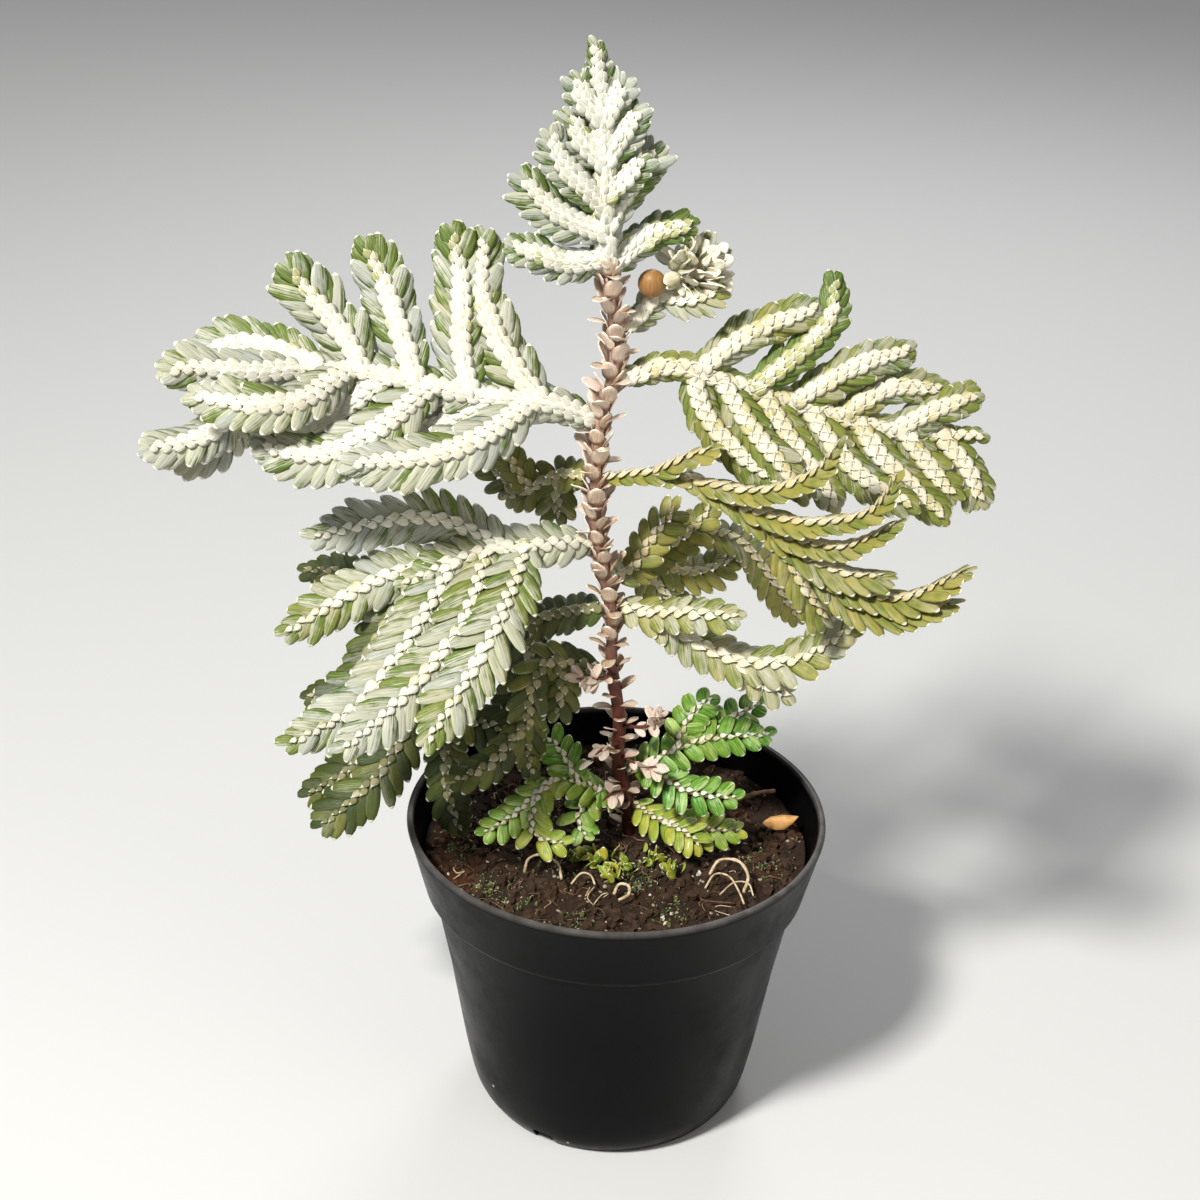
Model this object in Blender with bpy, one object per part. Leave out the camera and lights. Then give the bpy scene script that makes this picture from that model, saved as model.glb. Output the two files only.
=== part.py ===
"""Potted spikemoss: a small plastic nursery pot, its soil, and one creeping-fern plant.

Every flat strap of the plant is a thin arched blade whose edge is cut to the rib in
leaflets, with the braid of small scales raised along its middle. Straps that grow from
one side branch are fused to it, so each branch is one solid.
Units are metres and +Z is up. Places are measured from the middle of the pot's foot, and
at the end all objects move right together, to stand over the middle of their common box.
"""

import math

import bmesh
import bpy
from mathutils import Matrix, Vector, noise

MM = 0.001

# How far right of the origin the pot stands, so that the origin is under the box's middle
POT_PLACE = 8.8 * MM

# Pot, as a 9 cm nursery pot
RIM_RADIUS = 45.0 * MM
POT_HEIGHT = 70.0 * MM
COLLAR_BOTTOM = 54.5 * MM
FOOT_RADIUS = 28.2 * MM
FLOOR_LOW = 4.0 * MM
FLOOR_TOP = 5.4 * MM
POT_SIDES = 32
NOTCH_WIDTH = 5.0 * MM
NOTCH_HEIGHT = 3.4 * MM
NOTCH_ANGLES = (242, 62)
DRAIN_RADIUS = 2.6 * MM
DRAIN_RING = 15.0 * MM
DRAIN_COUNT = 6

# Soil
SOIL_LEVEL = 61.6 * MM
SOIL_RELIEF = 1.5 * MM
SOIL_RADIUS = 41.1 * MM
SOIL_RINGS = 4
SOIL_SIDES = 32
GAP = 0.35 * MM

# Main stem
STEM_RADIUS_LOW = 1.55 * MM
STEM_RADIUS_HIGH = 1.15 * MM
STEM_SIDES = 8
STEM_FOOT = 52.0 * MM
STEM_LEAF_LENGTH = 5.2 * MM
STEM_LEAF_WIDTH = 2.6 * MM
STEM_LEAF_STEP = 3.1 * MM
LOWEST_STEM_LEAF = 66.0 * MM
HIGHEST_STEM_LEAF = 187.0 * MM
GOLDEN_TURN = math.radians(137.5)

# A stem leaf's outline, along and half across, and the room kept clear at a branch:
# how far below it, how far above it and how far round the stem
STEM_LEAF_SHAPE = (
    (0.0, 0.45), (0.52, 1.0), (0.82, 0.75), (1.0, 0.0), (0.82, -0.75), (0.52, -1.0), (0.0, -0.45)
)
BRANCH_ROOM = (-6.5 * MM, 7.5 * MM, math.radians(75))

# Straps
LEAFLET_STEP = 6.5 * MM
LEAFLET_LEAN = 0.34
LEAFLET_SET_BACK = 0.35
BLADE_THICKNESS = 0.65 * MM
BRAID_HALF_WIDTH = 1.15 * MM
BRAID_HEIGHT = 0.85 * MM
BRAID_SWAY = 0.35 * MM
BARE_STALK = 4.0 * MM
BARE_ROOT = 5.0 * MM
STALK_CLEARANCE = 0.75 * MM
FACE_FRONT = (0.0, -0.84, 0.54)

# A leaflet's outline between its two roots: how far out as a share of its reach, how far
# along as a share of the step, and how far it droops as a share of its reach
LEAFLET_SHAPE = ((0.66, 0.62, 0.10), (0.98, 1.30, 0.26))

# Route of the main stem, from the soil up, in millimetres
STEM_ROUTE = [
    (3, 3, 60), (2, 2, 72), (0, 1, 82), (0, 0, 93), (-2, 0, 107), (-2, 0, 117),
    (-4, 0, 127), (-6, 0, 140), (-6, 0, 158), (-4, 0, 168), (-3, 0, 177), (-5, 0, 192),
]

# Each spray: the way its upper face looks, the route of its axis with the width over
# the leaflets, and the routes of the straps that grow from it, all in millimetres
SPRAYS = {
    "apex_spray": {
        "face": FACE_FRONT,
        "colour": (0.55, 0.6, 0.44),
        "stalk": 0.0,
        "axis": (8, [(-5, 0, 193), (-6, 0, 203), (-6, 0, 212), (-7, 0, 224), (-8, 0, 236)]),
        "straps": [
            (8, [(-6, -1, 195), (-12, -3, 195), (-17, -5, 197), (-23, -6, 199)]),
            (10, [(-6, -1, 200), (-12, -2, 203), (-17, -3, 207), (-21, -3, 211)]),
            (8, [(-7, -1, 205), (-10, -2, 210), (-14, -3, 215), (-16, -3, 220)]),
            (8, [(-8, -1, 214), (-10, -1, 218), (-12, -1, 223)]),
            (7, [(-8, -1, 222), (-10, -1, 226), (-11, -1, 230)]),
            (8, [(-5, 1, 193), (-1, 3, 196), (5, 5, 199), (11, 6, 200)]),
            (9, [(-5, 1, 201), (-3, 2, 206), (1, 3, 212), (3, 3, 216)]),
            (7, [(-6, 1, 207), (-2, 0, 211), (1, 0, 215)]),
            (8, [(-6, 1, 214), (-3, 0, 219), (0, 0, 224)]),
            (7, [(-7, 1, 221), (-5, 0, 225), (-3, 0, 229)]),
        ],
    },
    "frond_upper_left": {
        "face": FACE_FRONT,
        "colour": (0.6, 0.66, 0.52),
        "axis": (9, [
            (-8, -3, 162), (-16, -3, 166), (-29, -5, 168), (-44, -7, 172), (-57, -8, 174),
            (-70, -11, 174),
        ]),
        "straps": [
            (12, [(-31, -5, 169), (-33, -2, 177), (-33, 2, 187), (-35, 6, 197)]),
            (12, [(-17, -3, 166), (-24, -1, 175), (-29, 2, 185), (-29, 7, 196)]),
            (12, [(-42, -6, 171), (-45, -3, 181), (-48, 0, 189), (-51, 2, 195)]),
            (12, [(-51, -8, 173), (-56, -5, 181), (-61, -4, 187), (-65, -3, 192)]),
            (11, [(-60, -6, 173), (-70, -5, 177), (-78, -5, 177), (-83, -5, 174)]),
            (11, [(-63, -12, 175), (-73, -16, 176), (-81, -19, 178), (-86, -21, 178)]),
            (11, [(-54, -12, 173), (-62, -19, 172), (-71, -24, 173), (-81, -23, 174)]),
            (10, [(-73, -12, 169), (-79, -15, 164), (-85, -18, 162), (-91, -21, 162)]),
            (9, [(-71, -9, 165), (-78, -12, 160), (-86, -16, 157)]),
            (12, [(-47, -8, 171), (-55, -11, 167), (-63, -14, 164), (-70, -16, 163)]),
            (12, [(-38, -9, 170), (-47, -16, 166), (-57, -21, 162), (-69, -22, 163)]),
            (11, [(-26, -5, 167), (-36, -8, 163), (-47, -12, 160), (-56, -16, 156)]),
            (12, [(-18, -7, 167), (-28, -13, 163), (-39, -19, 161), (-52, -23, 161)]),
        ],
    },
    "frond_upper_right": {
        "face": FACE_FRONT,
        "colour": (0.62, 0.64, 0.42),
        "axis": (8, [
            (-1, 0, 170), (8, 3, 172), (20, 5, 168), (33, 7, 163), (43, 8, 160), (56, 10, 156),
            (72, 13, 155),
        ]),
        "straps": [
            (10, [(13, 4, 171), (21, 8, 176), (29, 11, 179), (37, 14, 181)]),
            (9, [(24, 5, 168), (33, 9, 173), (39, 13, 179), (40, 17, 186)]),
            (10, [(33, 7, 165), (45, 11, 170), (56, 16, 172)]),
            (9, [(42, 8, 161), (52, 12, 165), (63, 15, 164)]),
            (9, [(53, 9, 158), (62, 12, 161), (70, 15, 163)]),
            (9, [(11, 4, 170), (15, 1, 163), (22, -2, 156), (31, -5, 151)]),
            (9, [(18, 3, 169), (24, 0, 161), (30, -4, 155), (35, -6, 149)]),
            (9, [(27, 5, 166), (32, 2, 158), (38, -2, 151), (42, -3, 146)]),
            (10, [(37, 6, 163), (41, 3, 156), (48, 0, 150), (57, -2, 146)]),
            (10, [(46, 8, 160), (51, 5, 153), (59, 3, 146), (64, 2, 142)]),
            (9, [(55, 9, 157), (61, 7, 150), (66, 5, 145)]),
            (9, [(63, 10, 156), (69, 9, 149), (72, 7, 143)]),
        ],
    },
    "frond_mid_right": {
        "face": (-0.2, -0.1, 0.97),
        "colour": (0.45, 0.46, 0.24),
        "axis": (7, [
            (-1, -3, 149), (5, -4, 152), (12, -6, 152), (20, -9, 149), (28, -12, 144),
            (37, -15, 137),
        ]),
        "straps": [
            (8, [(5, -4, 152), (11, -6, 156), (17, -7, 159)]),
            (8, [(14, -7, 152), (26, -11, 152), (36, -13, 157), (41, -14, 165)]),
            (8, [(22, -10, 148), (35, -14, 147), (47, -17, 151), (52, -18, 160)]),
            (8, [(29, -12, 144), (42, -16, 143), (53, -19, 150)]),
            (10, [(32, -13, 141), (42, -17, 138), (51, -19, 138)]),
            (10, [(37, -15, 137), (53, -20, 134), (66, -23, 142)]),
            (10, [(37, -15, 136), (49, -20, 131), (64, -23, 135)]),
            (9, [(29, -12, 142), (35, -15, 134), (40, -17, 127)]),
        ],
    },
    "frond_lower_left": {
        "face": FACE_FRONT,
        "colour": (0.66, 0.68, 0.5),
        "axis": (9, [
            (-7, -3, 135), (-16, -5, 136), (-27, -8, 136), (-36, -12, 134), (-44, -15, 131),
        ]),
        "straps": [
            (11, [(-24, -4, 136), (-37, -5, 141), (-49, -7, 141), (-62, -11, 139)]),
            (11, [(-34, -9, 134), (-46, -12, 132), (-57, -15, 127), (-67, -18, 121)]),
            (10, [
                (-39, -12, 132), (-45, -14, 125), (-50, -17, 117), (-54, -19, 110),
                (-62, -22, 104),
            ]),
            (12, [(-33, -14, 136), (-40, -21, 126), (-50, -31, 114), (-64, -39, 108)]),
            (12, [(-26, -13, 137), (-31, -23, 128), (-41, -32, 117), (-53, -42, 109)]),
            (12, [(-18, -13, 139), (-24, -24, 129), (-30, -33, 120), (-37, -42, 111)]),
        ],
    },
    "frond_low_right": {
        "face": (-0.1, -0.6, 0.8),
        "colour": (0.6, 0.58, 0.26),
        "axis": (10, [
            (0, -3, 120), (7, -4, 120), (14, -6, 116), (24, -9, 113), (36, -11, 115),
            (48, -11, 124),
        ]),
        "straps": [
            (8, [(4, -5, 121), (14, -8, 123), (24, -11, 124)]),
            (8, [(23, -9, 113), (29, -11, 109), (35, -12, 107)]),
            (9, [(33, -5, 111), (41, -3, 115), (46, 0, 123)]),
        ],
    },
    "frond_back_right": {
        "face": (0.0, -0.6, 0.8),
        "colour": (0.22, 0.34, 0.1),
        "axis": (9, [(-2, 5, 125), (5, 12, 125), (14, 18, 129), (19, 23, 134)]),
        "straps": [
            (10, [(3, 12, 125), (14, 18, 119), (24, 25, 119)]),
            (10, [(2, 11, 123), (12, 13, 113), (21, 17, 108)]),
            (10, [(14, 20, 128), (24, 26, 123), (32, 30, 112), (39, 31, 101)]),
            (9, [(0, 9, 124), (6, 9, 132), (11, 9, 139)]),
        ],
    },
    "frond_back_left": {
        "face": (0.0, -0.7, 0.7),
        "colour": (0.3, 0.36, 0.18),
        "axis": (9, [(-5, 5, 119), (-17, 10, 111), (-30, 12, 100), (-41, 10, 90), (-47, 8, 82)]),
        "straps": [
            (11, [(-26, 12, 103), (-43, 18, 108), (-59, 22, 114), (-69, 23, 114)]),
            (11, [(-32, 12, 98), (-48, 17, 92), (-59, 20, 87), (-69, 20, 84)]),
            (12, [(-38, 10, 93), (-50, 8, 82), (-60, 6, 73), (-67, 4, 69)]),
            (12, [(-45, 6, 86), (-51, 1, 77), (-58, -3, 71), (-63, -5, 67)]),
            (9, [(-38, 8, 92), (-37, 3, 83), (-36, -2, 74), (-33, -6, 67)]),
            (10, [(-18, 10, 110), (-20, 8, 99), (-24, 5, 89), (-25, 2, 80)]),
            (10, [(-39, 9, 90), (-33, 2, 91), (-26, -3, 92), (-21, -5, 92)]),
        ],
    },
    "strap_hanging_left": {
        "face": (0.1, -0.8, 0.55),
        "colour": (0.45, 0.42, 0.2),
        "axis": (9, [
            (-3, -2, 105), (-10, -2, 107), (-15, -3, 108), (-18, -7, 104), (-19, -8, 93),
            (-18, -9, 84),
        ]),
        "straps": [
            (8, [(-13, -3, 108), (-12, -5, 103), (-13, -8, 98)]),
            (8, [(-19, -9, 96), (-26, -14, 90), (-34, -17, 87)]),
        ],
    },
    "basal_spray_left": {
        "face": (0.0, -0.6, 0.8),
        "colour": (0.36, 0.55, 0.08),
        "axis": (9, [(0, -2, 74), (-4, -4, 78), (-9, -6, 81), (-14, -7, 82)]),
        "straps": [
            (9, [(-13, -7, 82), (-17, -11, 79), (-17, -16, 74), (-10, -18, 73)]),
            (8, [(-4, -4, 78), (-8, -9, 74), (-6, -13, 71)]),
            (8, [(-14, -7, 82), (-21, -13, 77), (-28, -17, 74)]),
            (8, [(-8, -6, 81), (-13, -2, 87), (-18, 0, 90)]),
        ],
    },
    "basal_spray_right": {
        "face": (0.0, -0.7, 0.7),
        "colour": (0.34, 0.58, 0.1),
        "axis": (9, [(3, -2, 79), (12, 0, 86), (21, 2, 88), (33, 4, 88)]),
        "straps": [
            (9, [(5, -3, 81), (15, -7, 80), (26, -9, 80)]),
            (8, [(17, 3, 87), (24, 7, 90), (31, 11, 92)]),
            (8, [(12, 1, 86), (15, 4, 92), (20, 8, 95)]),
        ],
    },
    "basal_spray_front": {
        "face": (0.0, -0.6, 0.8),
        "colour": (0.5, 0.6, 0.12),
        "axis": (9, [(4, -2, 71), (10, -5, 71), (19, -6, 70), (27, -6, 70)]),
        "straps": [
            (8, [(10, -6, 72), (16, -9, 70), (18, -10, 68)]),
        ],
    },
    "twig_upper_back": {
        "face": FACE_FRONT,
        "colour": (0.4, 0.4, 0.22),
        "axis": (8, [(-5, 4, 149), (-14, 7, 146), (-20, 8, 142), (-25, 10, 139)]),
        "straps": [
            (8, [(-14, 7, 146), (-14, 6, 141), (-14, 5, 137)]),
            (8, [(-20, 9, 142), (-25, 13, 142), (-29, 15, 144)]),
            (7, [(-20, 8, 143), (-24, 8, 149), (-25, 7, 155)]),
        ],
    },
    "side_shoot": {
        "face": (-0.1, -0.8, 0.6),
        "colour": (0.58, 0.48, 0.3),
        "axis": (7, [(-3, 2, 180), (2, 5, 182), (5, 8, 185), (11, 11, 187)]),
        "straps": [
            (8, [(8, 10, 186), (13, 9, 191), (16, 9, 195)]),
            (8, [(5, 8, 185), (11, 6, 185), (17, 6, 187)]),
        ],
    },
}


def clear_scene():
    for obj in list(bpy.data.objects):
        bpy.data.objects.remove(obj, do_unlink=True)


def material(name, colour, roughness):
    made = bpy.data.materials.new(name)
    made.use_nodes = True
    shader = made.node_tree.nodes["Principled BSDF"]
    shader.inputs["Base Color"].default_value = (*colour, 1.0)
    shader.inputs["Roughness"].default_value = roughness
    shader.inputs["Metallic"].default_value = 0.0
    return made


def object_from(bm, name, finish=None):
    """A new object in the scene that holds this bmesh, its faces turned outwards."""
    bmesh.ops.recalc_face_normals(bm, faces=bm.faces)
    mesh = bpy.data.meshes.new(name)
    bm.to_mesh(mesh)
    bm.free()
    obj = bpy.data.objects.new(name, mesh)
    bpy.context.scene.collection.objects.link(obj)
    if finish:
        mesh.materials.append(finish)
    return obj


def smooth(obj, angle=40):
    """Smooth shading that keeps the edges sharper than the angle."""
    for other in bpy.context.selected_objects:
        other.select_set(False)
    obj.select_set(True)
    bpy.context.view_layer.objects.active = obj
    bpy.ops.object.shade_smooth_by_angle(angle=math.radians(angle))


def apply_boolean(obj, operation, others, solver="EXACT"):
    """One Boolean on a collection of helpers, applied, and the helpers removed."""
    helpers = bpy.data.collections.new("helpers")
    bpy.context.scene.collection.children.link(helpers)
    for other in others:
        bpy.context.scene.collection.objects.unlink(other)
        helpers.objects.link(other)
    step = obj.modifiers.new("join", "BOOLEAN")
    step.operation = operation
    step.operand_type = "COLLECTION"
    step.collection = helpers
    step.solver = solver
    if solver == "EXACT":
        step.use_self = True
    bpy.context.view_layer.objects.active = obj
    bpy.ops.object.modifier_apply(modifier=step.name)
    for other in others:
        bpy.data.objects.remove(other, do_unlink=True)
    bpy.data.collections.remove(helpers)


def curve_through(points, count):
    """Evenly spaced points on a smooth curve through the given millimetre points."""
    knots = [Vector(point) * MM for point in points]
    knots = [2 * knots[0] - knots[1], *knots, 2 * knots[-1] - knots[-2]]
    fine = []
    for a, b, c, d in zip(knots, knots[1:], knots[2:], knots[3:]):
        for part in range(12):
            t = part / 12
            bend = (2 * a - 5 * b + 4 * c - d) * t * t + (3 * b - a - 3 * c + d) * t**3
            fine.append(b + 0.5 * ((c - a) * t + bend))
    fine.append(knots[-2])
    lengths = [0.0]
    for before, after in zip(fine, fine[1:]):
        lengths.append(lengths[-1] + (after - before).length)
    spread = []
    for place in range(count + 1):
        wanted = lengths[-1] * place / count
        at = max(i for i in range(len(fine)) if lengths[i] <= wanted + 1e-12)
        at = min(at, len(fine) - 2)
        span = lengths[at + 1] - lengths[at]
        spread.append(fine[at].lerp(fine[at + 1], min(1.0, (wanted - lengths[at]) / span)))
    return spread


def route_length(points):
    knots = [Vector(point) * MM for point in points]
    return sum((b - a).length for a, b in zip(knots, knots[1:]))


def stem_point_near(height):
    """The point of the stem's middle line at this height in metres."""
    line = curve_through(STEM_ROUTE, 120)
    return min(line, key=lambda point: abs(point.z - height))


def strap_frames(line, face):
    """For each point of the line: the point, the way along, to the side and up."""
    face = Vector(face).normalized()
    found = []
    for i, point in enumerate(line):
        along = (line[min(i + 1, len(line) - 1)] - line[max(i - 1, 0)]).normalized()
        side = along.cross(face).normalized()
        found.append((point, along, side, side.cross(along)))
    return found


def leaflet_reach(share, width):
    """Half the strap's width at a share of its length: short at the root, round at the tip."""
    root = min(1.0, 0.62 + share * 3.0)
    tip = min(1.0, 0.30 + (1.0 - share) * 2.4)
    return 0.5 * width * MM * min(root, tip)


def strap(route, width, face, bare):
    """One strap as a closed solid: the braid along its middle and a leaflet on each side."""
    length = route_length(route)
    steps = max(3, round(length / LEAFLET_STEP))
    step = length / steps
    frames = strap_frames(curve_through(route, steps), face)
    bm = bmesh.new()
    ridge = []
    edges = {-1: [], 1: []}
    for i, (point, along, side, up) in enumerate(frames):
        sway = BRAID_SWAY * (-1) ** i
        ridge.append(bm.verts.new(point + up * BRAID_HEIGHT + side * sway))
        for hand in (-1, 1):
            edge = point + side * hand * BRAID_HALF_WIDTH
            upper = bm.verts.new(edge)
            lower = bm.verts.new(edge - up * BLADE_THICKNESS)
            edges[hand].append((upper, lower))
    for i in range(steps):
        point, along, side, up = frames[i]
        for hand in (-1, 1):
            outline = [edges[hand][i]]
            if (i + 0.5) * step >= bare:
                reach = leaflet_reach((i + 0.5) / steps, width)
                for out, forward, drop in LEAFLET_SHAPE:
                    place = point + side * hand * reach * out
                    place += along * step * (forward - LEAFLET_SET_BACK)
                    place += along * reach * out * LEAFLET_LEAN
                    place -= up * reach * drop
                    shift = up * BLADE_THICKNESS
                    outline.append((bm.verts.new(place), bm.verts.new(place - shift)))
            outline.append(edges[hand][i + 1])
            for first, second in zip(outline[1:], outline[2:]):
                bm.faces.new([outline[0][0], first[0], second[0]])
                bm.faces.new([outline[0][1], first[1], second[1]])
            for first, second in zip(outline, outline[1:]):
                bm.faces.new([first[0], second[0], second[1]])
                bm.faces.new([first[0], second[1], first[1]])
            bm.faces.new([ridge[i], edges[hand][i][0], edges[hand][i + 1][0]])
            bm.faces.new([ridge[i], edges[hand][i + 1][0], ridge[i + 1]])
        bm.faces.new([edges[-1][i][1], edges[1][i][1], edges[1][i + 1][1]])
        bm.faces.new([edges[-1][i][1], edges[1][i + 1][1], edges[-1][i + 1][1]])
    for i in (0, steps):
        bm.faces.new([ridge[i], edges[-1][i][0], edges[1][i][0]])
        bm.faces.new([edges[-1][i][0], edges[1][i][0], edges[1][i][1], edges[-1][i][1]])
    return bm


def clear_of_stem(route):
    """The same route, its first point moved along it to stand just off the stem."""
    start = Vector(route[0]) * MM
    toward = (Vector(route[1]) * MM - start).normalized()
    level = Vector((toward.x, toward.y, 0.0)).normalized()
    moved = stem_point_near(start.z) + level * (STEM_RADIUS_LOW + STALK_CLEARANCE)
    return [tuple(v / MM for v in (moved.x, moved.y, start.z)), *route[1:]]


def rooted(route, lines):
    """The same route, started from the nearest point of what has grown already."""
    start = Vector(route[0]) * MM
    near = min((point for line in lines for point in line), key=lambda p: (p - start).length)
    return [tuple(near / MM), *route[1:]]


def spray(name, plan):
    """One branch: its axis and all its straps, joined into a single solid."""
    width, route = plan["axis"]
    bare = plan.get("stalk", BARE_STALK)
    if bare:
        route = clear_of_stem(route)
    body = object_from(strap(route, width, plan["face"], bare), name)
    lines = [curve_through(route, 60)]
    helpers = []
    for strap_width, strap_route in plan["straps"]:
        strap_route = rooted(strap_route, lines)
        lines.append(curve_through(strap_route, 30))
        grown = strap(strap_route, strap_width, plan["face"], BARE_ROOT)
        helpers.append(object_from(grown, "helper"))
    # EXACT leaves specks where two thin blades cross at a small angle
    apply_boolean(body, "UNION", helpers, solver="MANIFOLD")
    body.data.materials.clear()
    body.data.materials.append(material(name, plan["colour"], 0.45))
    return body


def stem_radius(height):
    low, high = STEM_ROUTE[0][2] * MM, STEM_ROUTE[-1][2] * MM
    share = min(1.0, max(0.0, (height - low) / (high - low)))
    return STEM_RADIUS_LOW + (STEM_RADIUS_HIGH - STEM_RADIUS_LOW) * share


def stem_tube():
    """The stem as rings of points along its route, down into its hole in the soil."""
    line = curve_through(STEM_ROUTE, 14)
    line = [Vector((line[0].x, line[0].y, STEM_FOOT)), *line]
    bm = bmesh.new()
    rings = []
    for point in line:
        ring = []
        for k in range(STEM_SIDES):
            turn = math.tau * k / STEM_SIDES
            out = Vector((math.cos(turn), math.sin(turn), 0.0)) * stem_radius(point.z)
            ring.append(bm.verts.new(point + out))
        rings.append(ring)
    for low, high in zip(rings, rings[1:]):
        for k in range(STEM_SIDES):
            after = (k + 1) % STEM_SIDES
            bm.faces.new([low[k], low[after], high[after], high[k]])
    bm.faces.new(rings[0])
    bm.faces.new(rings[-1])
    return bm


def stem_leaf(point, turn):
    """One flat pointed scale leaf, its root sunk in the stem."""
    outward = Vector((math.cos(turn), math.sin(turn), 0.0))
    along = (outward * 0.75 + Vector((0, 0, 1)) * 0.66).normalized()
    side = along.cross(Vector((0, 0, 1))).normalized()
    up = side.cross(along).normalized()
    root = point + outward * 0.2 * MM
    bm = bmesh.new()
    upper = []
    lower = []
    for reach, half in STEM_LEAF_SHAPE:
        place = root + along * STEM_LEAF_LENGTH * reach + side * STEM_LEAF_WIDTH * 0.5 * half
        upper.append(bm.verts.new(place + up * BLADE_THICKNESS * 0.5))
        lower.append(bm.verts.new(place - up * BLADE_THICKNESS * 0.5))
    bm.faces.new(upper)
    bm.faces.new(lower)
    for k in range(len(upper)):
        after = (k + 1) % len(upper)
        bm.faces.new([upper[k], upper[after], lower[after], lower[k]])
    return bm


def branch_bases():
    """Where each branch leaves the stem: its height and the way it goes."""
    bases = []
    for plan in SPRAYS.values():
        start, after = (Vector(point) * MM for point in plan["axis"][1][:2])
        way = after - start
        bases.append((start.z, math.atan2(way.y, way.x)))
    return bases


def at_a_branch(height, turn, bases):
    """Whether a stem leaf at this height and turn would cross a branch."""
    below, above, beside = BRANCH_ROOM
    for level, way in bases:
        apart = abs((turn - way + math.pi) % math.tau - math.pi)
        if below < level - height < above and apart < beside:
            return True
    return False


def main_stem():
    """The wiry stem with its scale leaves, which leave room for the branches."""
    body = object_from(stem_tube(), "main_stem")
    bases = branch_bases()
    leaves = []
    height = LOWEST_STEM_LEAF
    turn = 0.4
    while height < HIGHEST_STEM_LEAF:
        if not at_a_branch(height, turn, bases):
            leaves.append(object_from(stem_leaf(stem_point_near(height), turn), "helper"))
        height += STEM_LEAF_STEP
        turn += GOLDEN_TURN
    apply_boolean(body, "UNION", leaves)
    body.data.materials.clear()
    body.data.materials.append(material("main_stem", (0.42, 0.24, 0.16), 0.5))
    smooth(body)
    return body


# The pot's wall in section, radius and height: under the floor, round the foot, up the
# outside with its collar, over the rim and down the inside to the floor again
POT_OUTLINE = [
    (0.0, FLOOR_LOW),
    (FOOT_RADIUS - 0.6 * MM, FLOOR_LOW),
    (FOOT_RADIUS - 1.8 * MM, 0.0),
    (FOOT_RADIUS, 0.0),
    (29.8 * MM, 2.4 * MM),
    (31.2 * MM, 6.5 * MM),
    (32.7 * MM, 14.0 * MM),
    (36.0 * MM, 35.0 * MM),
    (39.7 * MM, COLLAR_BOTTOM - 0.6 * MM),
    (41.2 * MM, COLLAR_BOTTOM),
    (41.5 * MM, COLLAR_BOTTOM + 0.6 * MM),
    (RIM_RADIUS - 0.3 * MM, POT_HEIGHT - 2.0 * MM),
    (RIM_RADIUS, POT_HEIGHT - 0.8 * MM),
    (RIM_RADIUS - 0.2 * MM, POT_HEIGHT - 0.1 * MM),
    (RIM_RADIUS - 0.9 * MM, POT_HEIGHT),
    (RIM_RADIUS - 1.5 * MM, POT_HEIGHT - 0.3 * MM),
    (RIM_RADIUS - 1.5 * MM, POT_HEIGHT - 2.0 * MM),
    (40.2 * MM, COLLAR_BOTTOM + 0.6 * MM),
    (38.6 * MM, COLLAR_BOTTOM - 0.8 * MM),
    (34.9 * MM, 35.0 * MM),
    (31.6 * MM, 14.0 * MM),
    (30.1 * MM, 7.0 * MM),
    (29.0 * MM, FLOOR_TOP),
    (0.0, FLOOR_TOP),
]

# The soil's outside in section, a gap away from the pot's inside
SOIL_OUTLINE = [
    (0.0, FLOOR_TOP + GAP),
    (28.5 * MM, FLOOR_TOP + GAP),
    (29.6 * MM, 7.3 * MM),
    (31.1 * MM, 14.0 * MM),
    (34.4 * MM, 35.0 * MM),
    (38.0 * MM, COLLAR_BOTTOM - 0.6 * MM),
    (39.5 * MM, COLLAR_BOTTOM + 1.0 * MM),
    (SOIL_RADIUS, SOIL_LEVEL),
]


def turned(outline, sides):
    """A section outline that starts and ends on the axis, turned about the Z axis."""
    bm = bmesh.new()
    points = [bm.verts.new((radius, 0.0, height)) for radius, height in outline]
    edges = [bm.edges.new(pair) for pair in zip(points, points[1:])]
    bmesh.ops.spin(
        bm,
        geom=points + edges,
        axis=(0, 0, 1),
        cent=(0, 0, 0),
        angle=math.tau,
        steps=sides,
        use_merge=True,
    )
    bmesh.ops.remove_doubles(bm, verts=bm.verts, dist=1e-6)
    return bm


def cylinder(radius, low, high, place, sides=8):
    bm = bmesh.new()
    bmesh.ops.create_cone(
        bm, cap_ends=True, segments=sides, radius1=radius, radius2=radius, depth=high - low
    )
    bmesh.ops.translate(bm, verts=bm.verts, vec=(place[0], place[1], (low + high) / 2))
    return object_from(bm, "helper")


def notch_cutter(angle):
    """A box with its upper corners rounded, which cuts an arch from the foot's skirt."""
    bm = bmesh.new()
    bmesh.ops.create_cube(bm, size=1.0)
    size = Vector((7.0 * MM, NOTCH_WIDTH, 2 * NOTCH_HEIGHT))
    bmesh.ops.scale(bm, vec=size, verts=bm.verts)
    corners = [e for e in bm.edges if all(v.co.z > 0 for v in e.verts)]
    corners = [e for e in corners if abs(e.verts[0].co.y - e.verts[1].co.y) < 1e-9]
    bmesh.ops.bevel(bm, geom=corners, offset=1.2 * MM, segments=3, profile=0.5, affect="EDGES")
    turn = math.radians(angle)
    place = Vector((math.cos(turn), math.sin(turn), 0.0)) * FOOT_RADIUS
    bmesh.ops.transform(
        bm, matrix=Matrix.Translation(place) @ Matrix.Rotation(turn, 4, "Z"), verts=bm.verts
    )
    return object_from(bm, "helper")


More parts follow.
